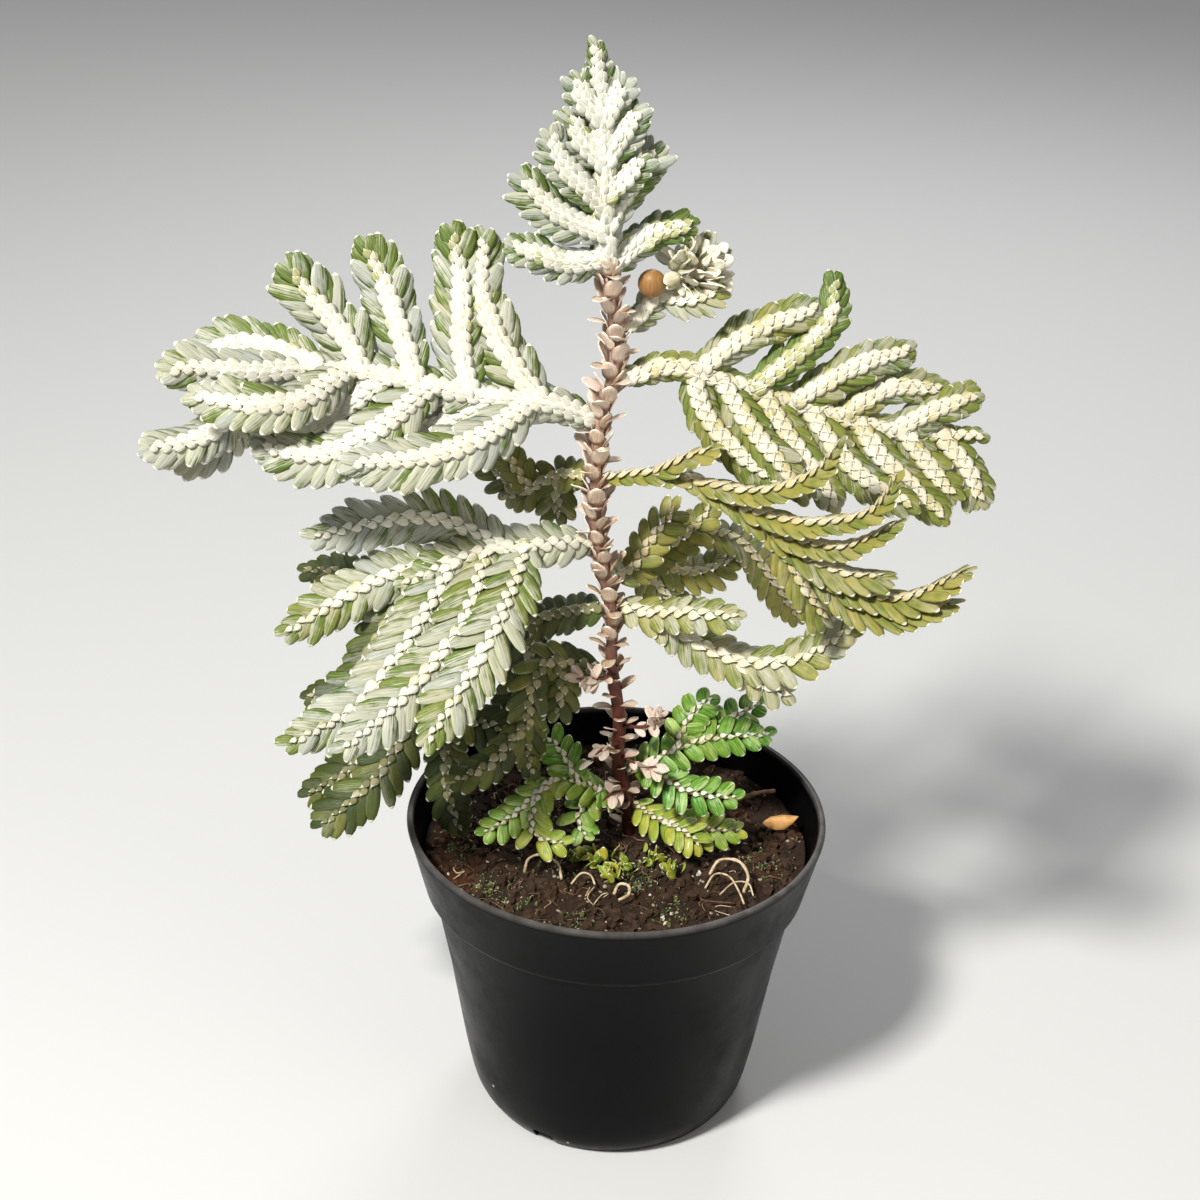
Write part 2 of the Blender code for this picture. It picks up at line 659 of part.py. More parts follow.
def pot():
    finish = material("pot", (0.012, 0.012, 0.013), 0.38)
    body = object_from(turned(POT_OUTLINE, POT_SIDES), "pot", finish)
    cutters = [notch_cutter(angle) for angle in NOTCH_ANGLES]
    for k in range(DRAIN_COUNT):
        turn = math.tau * k / DRAIN_COUNT
        place = (DRAIN_RING * math.cos(turn), DRAIN_RING * math.sin(turn))
        cutters.append(cylinder(DRAIN_RADIUS, FLOOR_LOW - 1 * MM, FLOOR_TOP + 1 * MM, place))
    apply_boolean(body, "DIFFERENCE", cutters)
    smooth(body)
    return body


def soil_height(x, y):
    """The soil's lumpy top, a little higher round the plant than at the wall."""
    place = Vector((x, y, 0.0)) / MM
    lumps = noise.noise(place * 0.13) * 0.6 + noise.noise(place * 0.35) * 0.4
    edge = math.hypot(x, y) / SOIL_RADIUS
    return SOIL_LEVEL + SOIL_RELIEF * (lumps + 0.7 * (1.0 - edge * edge))


def soil():
    finish = material("soil", (0.10, 0.06, 0.035), 0.95)
    bm = turned(SOIL_OUTLINE, SOIL_SIDES)
    rim = [e for e in bm.edges if e.is_boundary]
    outer = bmesh.ops.edgenet_fill(bm, edges=rim)["faces"]
    width = SOIL_RADIUS / (SOIL_RINGS + 0.6)
    for _ in range(SOIL_RINGS):
        bmesh.ops.inset_region(bm, faces=outer, thickness=width, use_even_offset=True)
    bmesh.ops.poke(bm, faces=outer)
    for vert in bm.verts:
        if vert.co.z > SOIL_LEVEL - 0.01 * MM:
            vert.co.z = soil_height(vert.co.x, vert.co.y)
    body = object_from(bm, "soil", finish)
    base = stem_point_near(STEM_ROUTE[0][2] * MM)
    hole = cylinder(STEM_RADIUS_LOW + GAP, STEM_FOOT - GAP, POT_HEIGHT, (base.x, base.y))
    apply_boolean(body, "DIFFERENCE", [hole])
    return body


def bent_tube(points, radii, name, finish, sides=6):
    """A thin round piece along a smooth route, given in millimetres, with closed ends."""
    line = curve_through(points, len(radii) - 1)
    bm = bmesh.new()
    rings = []
    frames = strap_frames(line, (0.13, 0.21, 0.97))
    for (point, along, side, up), radius in zip(frames, radii):
        ring = []
        for k in range(sides):
            turn = math.tau * k / sides
            out = side * math.cos(turn) + up * math.sin(turn)
            ring.append(bm.verts.new(point + out * radius * MM))
        rings.append(ring)
    for low, high in zip(rings, rings[1:]):
        for k in range(sides):
            after = (k + 1) % sides
            bm.faces.new([low[k], low[after], high[after], high[k]])
    bm.faces.new(rings[0])
    bm.faces.new(rings[-1])
    body = object_from(bm, name, finish)
    smooth(body)
    return body


def dry_leaf():
    """A dead leaf on the soil, a thin boat shape with a pointed tip."""
    route = [(32, 4, 65), (36, 5, 64.6), (39.5, 6, 65.4)]
    line = curve_through(route, 6)
    widths = (0.5, 1.5, 2.1, 2.2, 1.8, 1.1, 0.4)
    bm = bmesh.new()
    rows = []
    for (point, along, side, up), half in zip(strap_frames(line, (0, -0.3, 0.95)), widths):
        row = []
        for out, lift in ((-1.0, 0.5), (0.0, 0.0), (1.0, 0.5)):
            place = point + side * out * half * MM + up * lift * half * MM * 0.6
            row.append((bm.verts.new(place), bm.verts.new(place - up * BLADE_THICKNESS)))
        rows.append(row)
    for low, high in zip(rows, rows[1:]):
        for k in (0, 1):
            for face in (0, 1):
                bm.faces.new([low[k][face], low[k + 1][face], high[k + 1][face], high[k][face]])
        for k in (0, 2):
            bm.faces.new([low[k][0], high[k][0], high[k][1], low[k][1]])
    for row in (rows[0], rows[-1]):
        bm.faces.new([row[0][0], row[1][0], row[2][0], row[2][1], row[1][1], row[0][1]])
    return object_from(bm, "dry_leaf", material("dry_leaf", (0.62, 0.40, 0.16), 0.6))


def litter():
    """The dry leaf, the curled dead roots and the twigs that lie on the soil."""
    dead_root = material("dry_root", (0.60, 0.45, 0.28), 0.7)
    wood = material("twig", (0.30, 0.18, 0.10), 0.8)
    dry_leaf()
    curl = [(20, -15, 64.6), (22, -13, 67), (26, -14, 67.6), (28, -17, 66), (27, -21, 64.6)]
    curl_radii = (0.4, 0.5, 0.5, 0.55, 0.5, 0.5, 0.45, 0.5, 0.4)
    bent_tube(curl, curl_radii, "dry_root_right", dead_root)
    arch = [(-19, -17, 65), (-18, -16, 68), (-15, -16, 69), (-12, -17, 67.5), (-11, -19, 65)]
    arch_radii = (0.35, 0.4, 0.4, 0.45, 0.4, 0.4, 0.4, 0.35)
    bent_tube(arch, arch_radii, "dry_root_left", dead_root)
    twig = [(24, 12, 64.6), (30, 14, 66.6), (35, 15, 67)]
    bent_tube(twig, (0.45, 0.5, 0.45, 0.4, 0.35), "twig_on_soil", wood)


def main():
    clear_scene()
    pot()
    soil()
    main_stem()
    for name, plan in SPRAYS.items():
        spray(name, plan)
    litter()
    for obj in bpy.data.objects:
        obj.location.x = POT_PLACE


main()
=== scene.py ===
# %% [markdown]
# This lesson dresses a potted spikemoss. The solids of the plant are loaded first, as a
# frame that fixes every size and place. Each one is then replaced by a finer piece with
# the same form: hundreds of small leaves laid along the routes of its straps.

# %% Load the frame
import math

import bmesh
import bpy
import numpy as np
from mathutils import Matrix, Vector, noise


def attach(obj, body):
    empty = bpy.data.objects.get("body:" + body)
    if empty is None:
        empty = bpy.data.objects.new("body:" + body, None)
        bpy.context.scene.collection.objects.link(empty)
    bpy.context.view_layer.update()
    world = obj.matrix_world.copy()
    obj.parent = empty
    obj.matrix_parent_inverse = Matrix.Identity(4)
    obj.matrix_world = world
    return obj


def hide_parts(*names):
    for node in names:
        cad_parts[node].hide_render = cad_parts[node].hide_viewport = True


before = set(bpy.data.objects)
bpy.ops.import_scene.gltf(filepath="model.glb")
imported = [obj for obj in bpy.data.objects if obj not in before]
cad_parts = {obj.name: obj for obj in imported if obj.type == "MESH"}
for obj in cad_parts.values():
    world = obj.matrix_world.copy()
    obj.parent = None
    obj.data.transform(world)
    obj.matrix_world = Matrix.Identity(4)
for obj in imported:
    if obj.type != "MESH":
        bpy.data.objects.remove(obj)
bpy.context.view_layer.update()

MM = 0.001
POT_PLACE = 8.8 * MM
print("solids loaded:", len(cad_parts))

# %% [markdown]
# The camera stands where the photographer stood: a little above the plant, looking down
# at about 28 degrees. Its place comes from fitting the ellipses of the pot's rim and foot.

# %% Camera
CAMERA_PLACE = Vector((POT_PLACE, -428.5 * MM, 348.8 * MM))
CAMERA_PITCH = 0.488
CAMERA_ROLL = 0.026
CAMERA_YAW = 0.011
LENS = 70.98
SENSOR_WIDTH = 36.0
NEAREST_SEEN = 0.01

camera_data = bpy.data.cameras.new("camera")
camera_data.lens = LENS
camera_data.sensor_width = SENSOR_WIDTH
camera_data.clip_start = NEAREST_SEEN
camera = bpy.data.objects.new("camera", camera_data)
bpy.context.scene.collection.objects.link(camera)
turn = Matrix.Rotation(CAMERA_YAW, 4, "Z") @ Matrix.Rotation(math.pi / 2 - CAMERA_PITCH, 4, "X")
turn = turn @ Matrix.Rotation(CAMERA_ROLL, 4, "Z")
camera.matrix_world = Matrix.Translation(CAMERA_PLACE) @ turn
bpy.context.scene.camera = camera
print("camera looks down", round(math.degrees(CAMERA_PITCH), 1), "degrees")

# %% [markdown]
# The node trees below are built with a few small helpers. Each adds a node, sets its
# values and joins its sockets in one call, so that the recipes stay short enough to read.

# %% Helpers for node trees
def feed(value, socket):
    """Joins an output to this input, or sets the input to a number or a colour."""
    if isinstance(value, bpy.types.NodeSocket):
        socket.id_data.links.new(value, socket)
    elif socket.type == "RGBA":
        socket.default_value = (*value, 1.0)
    else:
        socket.default_value = value


def node_in(tree, kind, label="", **settings):
    """Adds a node and gives its outputs; each setting names an attribute or an input."""
    made = tree.nodes.new("ShaderNode" + kind)
    made.label = label
    for key, value in settings.items():
        if hasattr(made, key):
            setattr(made, key, value)
        else:
            feed(value, made.inputs[key.replace("_", " ")])
    return made.outputs


def mix_in(amount, first, second, label=""):
    """Mixes two colours, each a socket or a plain colour, by the amount, a socket."""
    mixer = amount.id_data.nodes.new("ShaderNodeMix")
    mixer.data_type = "RGBA"
    mixer.label = label
    for place, value in ((0, amount), (6, first), (7, second)):
        feed(value, mixer.inputs[place])
    return mixer.outputs[2]


def math_in(operation, *values, clamp=False):
    """A maths node on sockets and numbers, at least one of them a socket."""
    tree = next(value.id_data for value in values if isinstance(value, bpy.types.NodeSocket))
    worker = tree.nodes.new("ShaderNodeMath")
    worker.operation = operation
    worker.use_clamp = clamp
    for value, socket in zip(values, worker.inputs):
        feed(value, socket)
    return worker.outputs[0]


def times(*values, clamp=False):
    return math_in("MULTIPLY", *values, clamp=clamp)


def slope(value, middle, factor, clamp=False):
    """How far the value lies above the middle, times the factor."""
    return times(math_in("SUBTRACT", value, middle), factor, clamp=clamp)


def range_in(tree, value, low, high):
    """The value's share of the way from low to high, from 0 to 1."""
    return node_in(tree, "MapRange", Value=value, From_Min=low, From_Max=high)["Result"]


def own_place(tree):
    """The object's own coordinates, followed by their X, Y and Z."""
    place = node_in(tree, "TexCoord")["Object"]
    return place, *node_in(tree, "SeparateXYZ", Vector=place)


def own_noise(tree, scale, detail, roughness=0.5):
    """Noise that sticks to the object."""
    place = node_in(tree, "TexCoord")["Object"]
    settings = dict(Vector=place, Scale=scale, Detail=detail, Roughness=roughness)
    return node_in(tree, "TexNoise", **settings)["Fac"]


def bump_in(shader, height, strength, distance):
    """Fine relief for a shader, from a height."""
    settings = dict(Height=height, Strength=strength, Distance=distance)
    feed(node_in(height.id_data, "Bump", **settings)["Normal"], shader.inputs["Normal"])


def new_group(name, inputs, outputs):
    """A shader node group of numbers: its tree, its inputs to read, its outputs to feed."""
    tree = bpy.data.node_groups.new(name, "ShaderNodeTree")
    for label, default in inputs:
        socket = tree.interface.new_socket(label, in_out="INPUT", socket_type="NodeSocketFloat")
        socket.default_value = default
    for label in outputs:
        tree.interface.new_socket(label, in_out="OUTPUT", socket_type="NodeSocketFloat")
    inside = tree.nodes.new("NodeGroupInput").outputs
    return tree, inside, tree.nodes.new("NodeGroupOutput").inputs


def new_material(name, roughness=0.5, specular=0.5):
    """A material with its node tree and its shader."""
    made = bpy.data.materials.new(name)
    made.use_nodes = True
    shader = made.node_tree.nodes["Principled BSDF"]
    shader.inputs["Roughness"].default_value = roughness
    shader.inputs["Specular IOR Level"].default_value = specular
    return made, made.node_tree, shader


print("node helpers ready")

# %% [markdown]
# The floor is a plain pale sheet. The plant stood in sunlight from the upper left, so the
# studio has a strong key there, a weak warm fill on the right and a rim light behind. The
# Standard view keeps the sun's contrast: white scales burn out while shaded leaves stay deep.

# %% Floor and lights
FLOOR_SIZE = 6.0
FLOOR_GAP = 0.0002
FLOOR_COLOUR = (0.66, 0.66, 0.65)
SKY_COLOUR = (0.86, 0.89, 0.93)
SKY_STRENGTH = 0.24
# For each light its name, place, aim, size, power and colour
LIGHTS = (
    ("key", (-0.36, -0.52, 0.86), (-0.02, 0.0, 0.15), 0.14, 14.0, (1.0, 0.98, 0.94)),
    ("fill", (0.62, -0.45, 0.40), (0.02, 0.0, 0.12), 0.50, 1.2, (1.0, 0.90, 0.76)),
    ("rim", (0.15, 0.65, 0.60), (0.0, 0.0, 0.16), 0.30, 2.0, (0.95, 0.97, 1.0)),
)


def deselect():
    bpy.ops.object.select_all(action="DESELECT")


deselect()
bpy.ops.mesh.primitive_plane_add(size=FLOOR_SIZE, location=(0, 0, -FLOOR_GAP))
floor = bpy.context.active_object
floor.name = "floor"
floor_finish, _, shader = new_material("floor", roughness=0.9)
feed(FLOOR_COLOUR, shader.inputs["Base Color"])
floor.data.materials.append(floor_finish)

world = bpy.data.worlds.new("studio")
bpy.context.scene.world = world
world.use_nodes = True
background = world.node_tree.nodes["Background"]
feed(SKY_COLOUR, background.inputs["Color"])
feed(SKY_STRENGTH, background.inputs["Strength"])
bpy.context.scene.view_settings.view_transform = "Standard"

for name, place, aim, size, power, colour in LIGHTS:
    lamp = bpy.data.lights.new(name, "AREA")
    lamp.size = size
    lamp.energy = power
    lamp.color = colour
    holder = bpy.data.objects.new(name, lamp)
    holder.location = place
    holder.rotation_euler = (Vector(aim) - Vector(place)).to_track_quat("-Z", "Y").to_euler()
    bpy.context.scene.collection.objects.link(holder)
print("lights:", len(LIGHTS))

# %% [markdown]
# A spikemoss leaf is one cell layer thick in places, so its veins and the rows of its
# cells show as fine streaks along it. Its edge is a clear pale line and its tip a white
# dot. The group below reads the leaf's own UV map, with U from root to tip and V across,
# and gives masks for these, and one of painted shade along the back edge, where a leaf
# tucks under the next. Every foliage material places it with its own values.

# %% Group for leaf streaks
STREAK_LENGTH = 1.6
STREAK_SHIFT = 40.0
TIP_DOT_START = 0.94
# How narrow the painted shade along a leaf's back edge is
GAP_SHADE_NARROWNESS = 6.0

leaf_streaks, inside, outside = new_group(
    "leaf streaks",
    (("Fineness", 16.0), ("Edge Width", 0.1)),
    ("Streaks", "Edge", "Gap_Shade", "Tip", "Across", "Along"),
)
uv = node_in(leaf_streaks, "UVMap", uv_map="UVMap")["UV"]
along, across, _ = node_in(leaf_streaks, "SeparateXYZ", Vector=uv)
mark = node_in(leaf_streaks, "Attribute", attribute_name="leaf")["Color"]
_, _, own = node_in(leaf_streaks, "SeparateColor", Color=mark)
stretched = node_in(
    leaf_streaks,
    "CombineXYZ",
    X=times(along, STREAK_LENGTH),
    Y=times(across, inside["Fineness"]),
    Z=times(own, STREAK_SHIFT),
)["Vector"]
settings = dict(Vector=stretched, Scale=1.0, Detail=2.0, Roughness=0.6)
streaks = range_in(leaf_streaks, node_in(leaf_streaks, "TexNoise", **settings)["Fac"], 0.36, 0.64)
edge_start = math_in("SUBTRACT", 1.0, inside["Edge Width"])
feed(streaks, outside["Streaks"])
feed(math_in("GREATER_THAN", across, edge_start), outside["Edge"])
# Painted shade along the back edge of the leaf, where V is near 0 and it tucks under the next.
gap_shade = math_in("SUBTRACT", 1.0, times(across, GAP_SHADE_NARROWNESS))
feed(math_in("MAXIMUM", gap_shade, 0.0), outside["Gap_Shade"])
feed(math_in("GREATER_THAN", along, TIP_DOT_START), outside["Tip"])
feed(across, outside["Across"])
feed(along, outside["Along"])
print("group made:", leaf_streaks.name)

# %% [markdown]
# Each leaf carries a colour attribute named leaf: red is how much painted silver sheen it
# gets, the sun's reflection painted into its colour, green how yellow and dry it is, blue a
# random number of its own, and alpha how much painted shade it gets. One material can then
# paint every frond, from the ones in the sun, painted silver, to the olive ones that curl
# and show their undersides.

# %% Materials of the side leaves and the braid scales
TIP_COLOUR = (0.80, 0.80, 0.66)


def darker(colour, share):
    return tuple(share * value for value in colour)


def leaf_material(name, fresh, deep, silver_sheen, cool, olive, edge, gain, dull):
    """A leaf's finish: green cells, painted silver sheen and shade, and a pale edge and tip."""
    made, tree, shader = new_material(name, specular=0.35)
    masks = node_in(tree, "Group", node_tree=leaf_streaks, Fineness=15.0, Edge_Width=0.08)
    streaks = masks["Streaks"]
    mark = node_in(tree, "Attribute", attribute_name="leaf")
    sheen_mark, dry, own = node_in(tree, "SeparateColor", Color=mark["Color"])
    mottle = own_noise(tree, 420.0, 3.0)
    green = mix_in(streaks, deep, fresh, label="green cells")
    amount = times(sheen_mark, gain)
    for source, middle, weight in (
        (mottle, 0.5, 1.1), (streaks, 0.5, 0.40), (masks["Across"], 0.42, 0.75), (own, 0.5, 0.30),
    ):
        amount = math_in("ADD", amount, slope(source, middle, weight))
    # Painted sheen: the sun's reflection mixed into the colour, silver on some leaves and tinged
    # blue-grey on others.
    sheen = range_in(tree, amount, 0.28, 0.68)
    sheen_colour = mix_in(slope(own, 0.45, 1.6, clamp=True), silver_sheen, cool, label="silver or blue-grey")
    body = mix_in(sheen, green, sheen_colour, label="silver sheen")
    body = mix_in(slope(streaks, 1.0, -0.38), body, deep, label="dark streaks")
    dryness = times(times(dry, mottle), 1.5, clamp=True)
    body = mix_in(dryness, body, olive, label="yellow and dry")
    body = mix_in(times(masks["Edge"], 0.55), body, edge, label="pale edge")
    # Darker towards the root: partly the leaf's deeper green there, partly painted shade where
    # the braid covers it.
    body = mix_in(slope(masks["Along"], 0.20, -3.5, clamp=True), body, deep, label="dark root")
    # Painted shade: alpha darkens the leaf towards a deep green.
    depth = times(mark["Alpha"], 0.85, clamp=True)
    body = mix_in(depth, body, darker(deep, 0.35), label="painted shade")
    # Painted shade in the gap where the leaf tucks under its neighbour.
    body = mix_in(times(masks["Gap_Shade"], 0.80), body, darker(deep, 0.5), label="slit behind")
    body = mix_in(times(masks["Tip"], 0.85), body, TIP_COLOUR, label="white tip")
    feed(body, shader.inputs["Base Color"])
    feed(math_in("ADD", times(streaks, -0.14), dull), shader.inputs["Roughness"])
    bump_in(shader, streaks, 0.5, 0.12 * MM)
    return made


side_leaf_finish = leaf_material(
    "side_leaf",
    fresh=(0.170, 0.270, 0.045),
    deep=(0.045, 0.095, 0.014),
    silver_sheen=(0.530, 0.530, 0.450),
    cool=(0.420, 0.450, 0.440),
    olive=(0.360, 0.310, 0.070),
    edge=(0.520, 0.560, 0.280),
    gain=1.0,
    dull=0.50,
)
fresh_leaf_finish = leaf_material(
    "fresh_leaf",
    fresh=(0.145, 0.370, 0.035),
    deep=(0.030, 0.140, 0.014),
    silver_sheen=(0.430, 0.580, 0.220),
    cool=(0.230, 0.470, 0.130),
    olive=(0.560, 0.460, 0.050),
    edge=(0.440, 0.580, 0.160),
    gain=0.8,
    dull=0.38,
)
scale_finish = leaf_material(
    "braid_scale",
    fresh=(0.640, 0.640, 0.360),
    deep=(0.300, 0.330, 0.100),
    silver_sheen=(0.880, 0.870, 0.790),
    cool=(0.860, 0.860, 0.820),
    olive=(0.720, 0.560, 0.290),
    edge=(0.860, 0.840, 0.720),
    gain=1.4,
    dull=0.55,
)
stem_leaf_finish = leaf_material(
    "stem_leaf",
    fresh=(0.680, 0.500, 0.360),
    deep=(0.360, 0.200, 0.120),
    silver_sheen=(0.860, 0.740, 0.660),
    cool=(0.820, 0.700, 0.690),
    olive=(0.640, 0.460, 0.240),
    edge=(0.900, 0.820, 0.700),
    gain=1.15,
    dull=0.45,
)
print("leaf materials made, the side leaf with", len(side_leaf_finish.node_tree.nodes), "nodes")

# %% [markdown]
# The stalks under the leaves are smooth and wiry, pink-tan where the sun reaches them and
# red-brown lower down. Height along Z picks the colour, and a stretched noise adds fibres.

# %% Material of the stalks
COLOUR_CHANGE = 0.03
FIBRE_STRETCH = (1.0, 1.0, 0.12)


def stalk_material(name, high, low, turn_height):
    """A fibrous bark that changes colour about the given height."""
    made, tree, shader = new_material(name, specular=0.4)
    place, _, _, height = own_place(tree)
    share = range_in(tree, height, turn_height - COLOUR_CHANGE, turn_height + COLOUR_CHANGE)
    stretched = node_in(tree, "Mapping", Vector=place, Scale=FIBRE_STRETCH)["Vector"]
    fibre = node_in(tree, "TexNoise", Vector=stretched, Scale=2600.0, Detail=3.0)["Fac"]
    colour = mix_in(share, low, high, label="colour by height")
    dark = slope(fibre, 0.62, -1.8, clamp=True)
    colour = mix_in(dark, colour, darker(low, 0.45), label="fibres")
    feed(colour, shader.inputs["Base Color"])
    feed(math_in("ADD", times(fibre, 0.3), 0.3), shader.inputs["Roughness"])
    bump_in(shader, fibre, 0.4, 0.1 * MM)
    return made


stem_finish = stalk_material("stem_bark", (0.50, 0.32, 0.24), (0.120, 0.030, 0.020), 0.128)
stalk_finish = stalk_material("stalk", (0.46, 0.42, 0.18), (0.30, 0.20, 0.07), 0.100)
bud_finish = stalk_material("bud", (0.34, 0.17, 0.05), (0.34, 0.17, 0.05), 0.118)
print("stalk materials:", stem_finish.name, stalk_finish.name, bud_finish.name)

# %% [markdown]
# Each kind of leaf is modelled from a small grid. Its columns of points are pulled
# in and out to the leaf's outline, its middle is lifted a little, and Solidify gives it the
# thickness of paper. It is about one unit long and wide, and its copies are stretched to
# the size of each real leaf: side leaves, the round and pointed scales of the braid, the
# spoon-shaped leaves of the stem and one dry leaf.

# %% Model the leaves and scales
FLAT_NORMAL = 0.5
AWAY = 10.0


def pick_column(obj, column, columns):
    """In edit mode, selects the points of one column of a unit grid, counted from the root."""
    grid = bmesh.from_edit_mesh(obj.data)
    at = column / (columns - 1)
    for vert in grid.verts:
        vert.select = abs(vert.co.x + 0.5 - at) < 0.02 / columns
    grid.select_flush_mode()
    bmesh.update_edit_mesh(obj.data)


def taken_shape(obj, is_smooth):
    """The points, faces and smooth faces of a modelled object, which is then removed."""
    points = np.array([vert.co[:] for vert in obj.data.vertices])
    faces = [tuple(face.vertices) for face in obj.data.polygons]
    smooth = [is_smooth(face) for face in obj.data.polygons]
    print(obj.name, "faces", len(faces), "length", round(float(np.ptp(points[:, 0])), 2))
    bpy.data.objects.remove(obj, do_unlink=True)
    return points, faces, smooth


def model_leaf(name, places, halves, lifts, crown, thickness, sweep=0.0):
    """A leaf from a unit grid: for each column its place, half width and lift.

    The crown arches it across, and the sweep curves its tip forward. Each finished column
    is moved away, so that the next one is picked alone.
    """
    columns = len(places)
    deselect()
    bpy.ops.mesh.primitive_grid_add(x_subdivisions=columns - 1, y_subdivisions=3, size=1.0)
    leaf = bpy.context.active_object
    leaf.name = name
    bpy.ops.object.mode_set(mode="EDIT")
    for column in reversed(range(columns)):
        pick_column(leaf, column, columns)
        at = column / (columns - 1)
        middle = (at - 0.5, 0.0, 0.0)
        bpy.ops.transform.resize(value=(1.0, 2.0 * halves[column], 1.0), center_override=middle)
        bpy.ops.transform.translate(value=(places[column] - at + AWAY, 0.0, lifts[column]))
    bpy.ops.mesh.select_all(action="SELECT")
    bpy.ops.transform.translate(value=(0.5 - AWAY, 0.0, 0.0))
    bpy.ops.object.mode_set(mode="OBJECT")
    for vert in leaf.data.vertices:
        vert.co.z += crown * (1.0 - (2.0 * vert.co.y) ** 2)
        vert.co.y += sweep * vert.co.x**2
    shell = leaf.modifiers.new("thickness", "SOLIDIFY")
    shell.thickness = thickness
    shell.offset = -1.0
    bpy.ops.object.modifier_apply(modifier=shell.name)
    return taken_shape(leaf, lambda face: abs(face.normal.z) > FLAT_NORMAL)


side_leaf = model_leaf(
    "side_leaf",
    places=(0.0, 0.14, 0.36, 0.60, 0.82, 0.95, 1.0),
    halves=(0.32, 0.45, 0.50, 0.49, 0.38, 0.20, 0.05),
    lifts=(0.0, 0.02, 0.03, 0.02, -0.01, -0.04, -0.06),
    crown=0.030,
    thickness=0.020,
    sweep=0.12,
)
round_scale = model_leaf(
    "round_scale",
    places=(0.0, 0.14, 0.38, 0.64, 0.88, 1.0, 1.22),
    halves=(0.18, 0.38, 0.50, 0.50, 0.34, 0.10, 0.012),
    lifts=(0.0, 0.03, 0.05, 0.05, 0.03, 0.01, 0.05),
    crown=0.035,
    thickness=0.035,
)
point_scale = model_leaf(
    "point_scale",
    places=(0.0, 0.16, 0.42, 0.70, 0.92, 1.10, 1.34),
    halves=(0.18, 0.34, 0.45, 0.38, 0.22, 0.08, 0.012),
    lifts=(0.0, 0.03, 0.04, 0.03, 0.02, 0.04, 0.12),
    crown=0.035,
    thickness=0.035,
    sweep=0.06,
)
litter_leaf = model_leaf(
    "litter_leaf",
    places=(0.0, 0.10, 0.32, 0.56, 0.78, 0.93, 1.0),
    halves=(0.05, 0.24, 0.46, 0.50, 0.33, 0.12, 0.01),
    lifts=(0.05, 0.02, 0.0, 0.0, 0.02, 0.06, 0.10),
    crown=0.09,
    thickness=0.02,
)
stem_leaf = model_leaf(
    "stem_leaf",
    places=(0.0, 0.20, 0.46, 0.72, 0.91, 1.0),
    halves=(0.20, 0.42, 0.50, 0.45, 0.27, 0.06),
    lifts=(0.0, 0.03, 0.03, 0.0, -0.01, 0.02),
    crown=-0.07,
    thickness=0.04,
)
deselect()
bpy.ops.mesh.primitive_ico_sphere_add(subdivisions=3, radius=0.5)
ball = taken_shape(bpy.context.active_object, lambda face: True)

# %% [markdown]
# Every strap of the plant follows a route, the same one as its solid, in millimetres from
# the middle of the pot's foot. For each spray the table gives the way that its upper face
# looks and its strands, each with its width. The first is the axis, and the others are the
# straps that grow from it.

# %% The routes
FACE_FRONT = (0.0, -0.84, 0.54)

# Route of the main stem, from the soil up
STEM_ROUTE = [
    (3, 3, 60), (2, 2, 72), (0, 1, 82), (0, 0, 93), (-2, 0, 107), (-2, 0, 117), (-4, 0, 127),
    (-6, 0, 140), (-6, 0, 158), (-4, 0, 168), (-3, 0, 177), (-5, 0, 192),
]

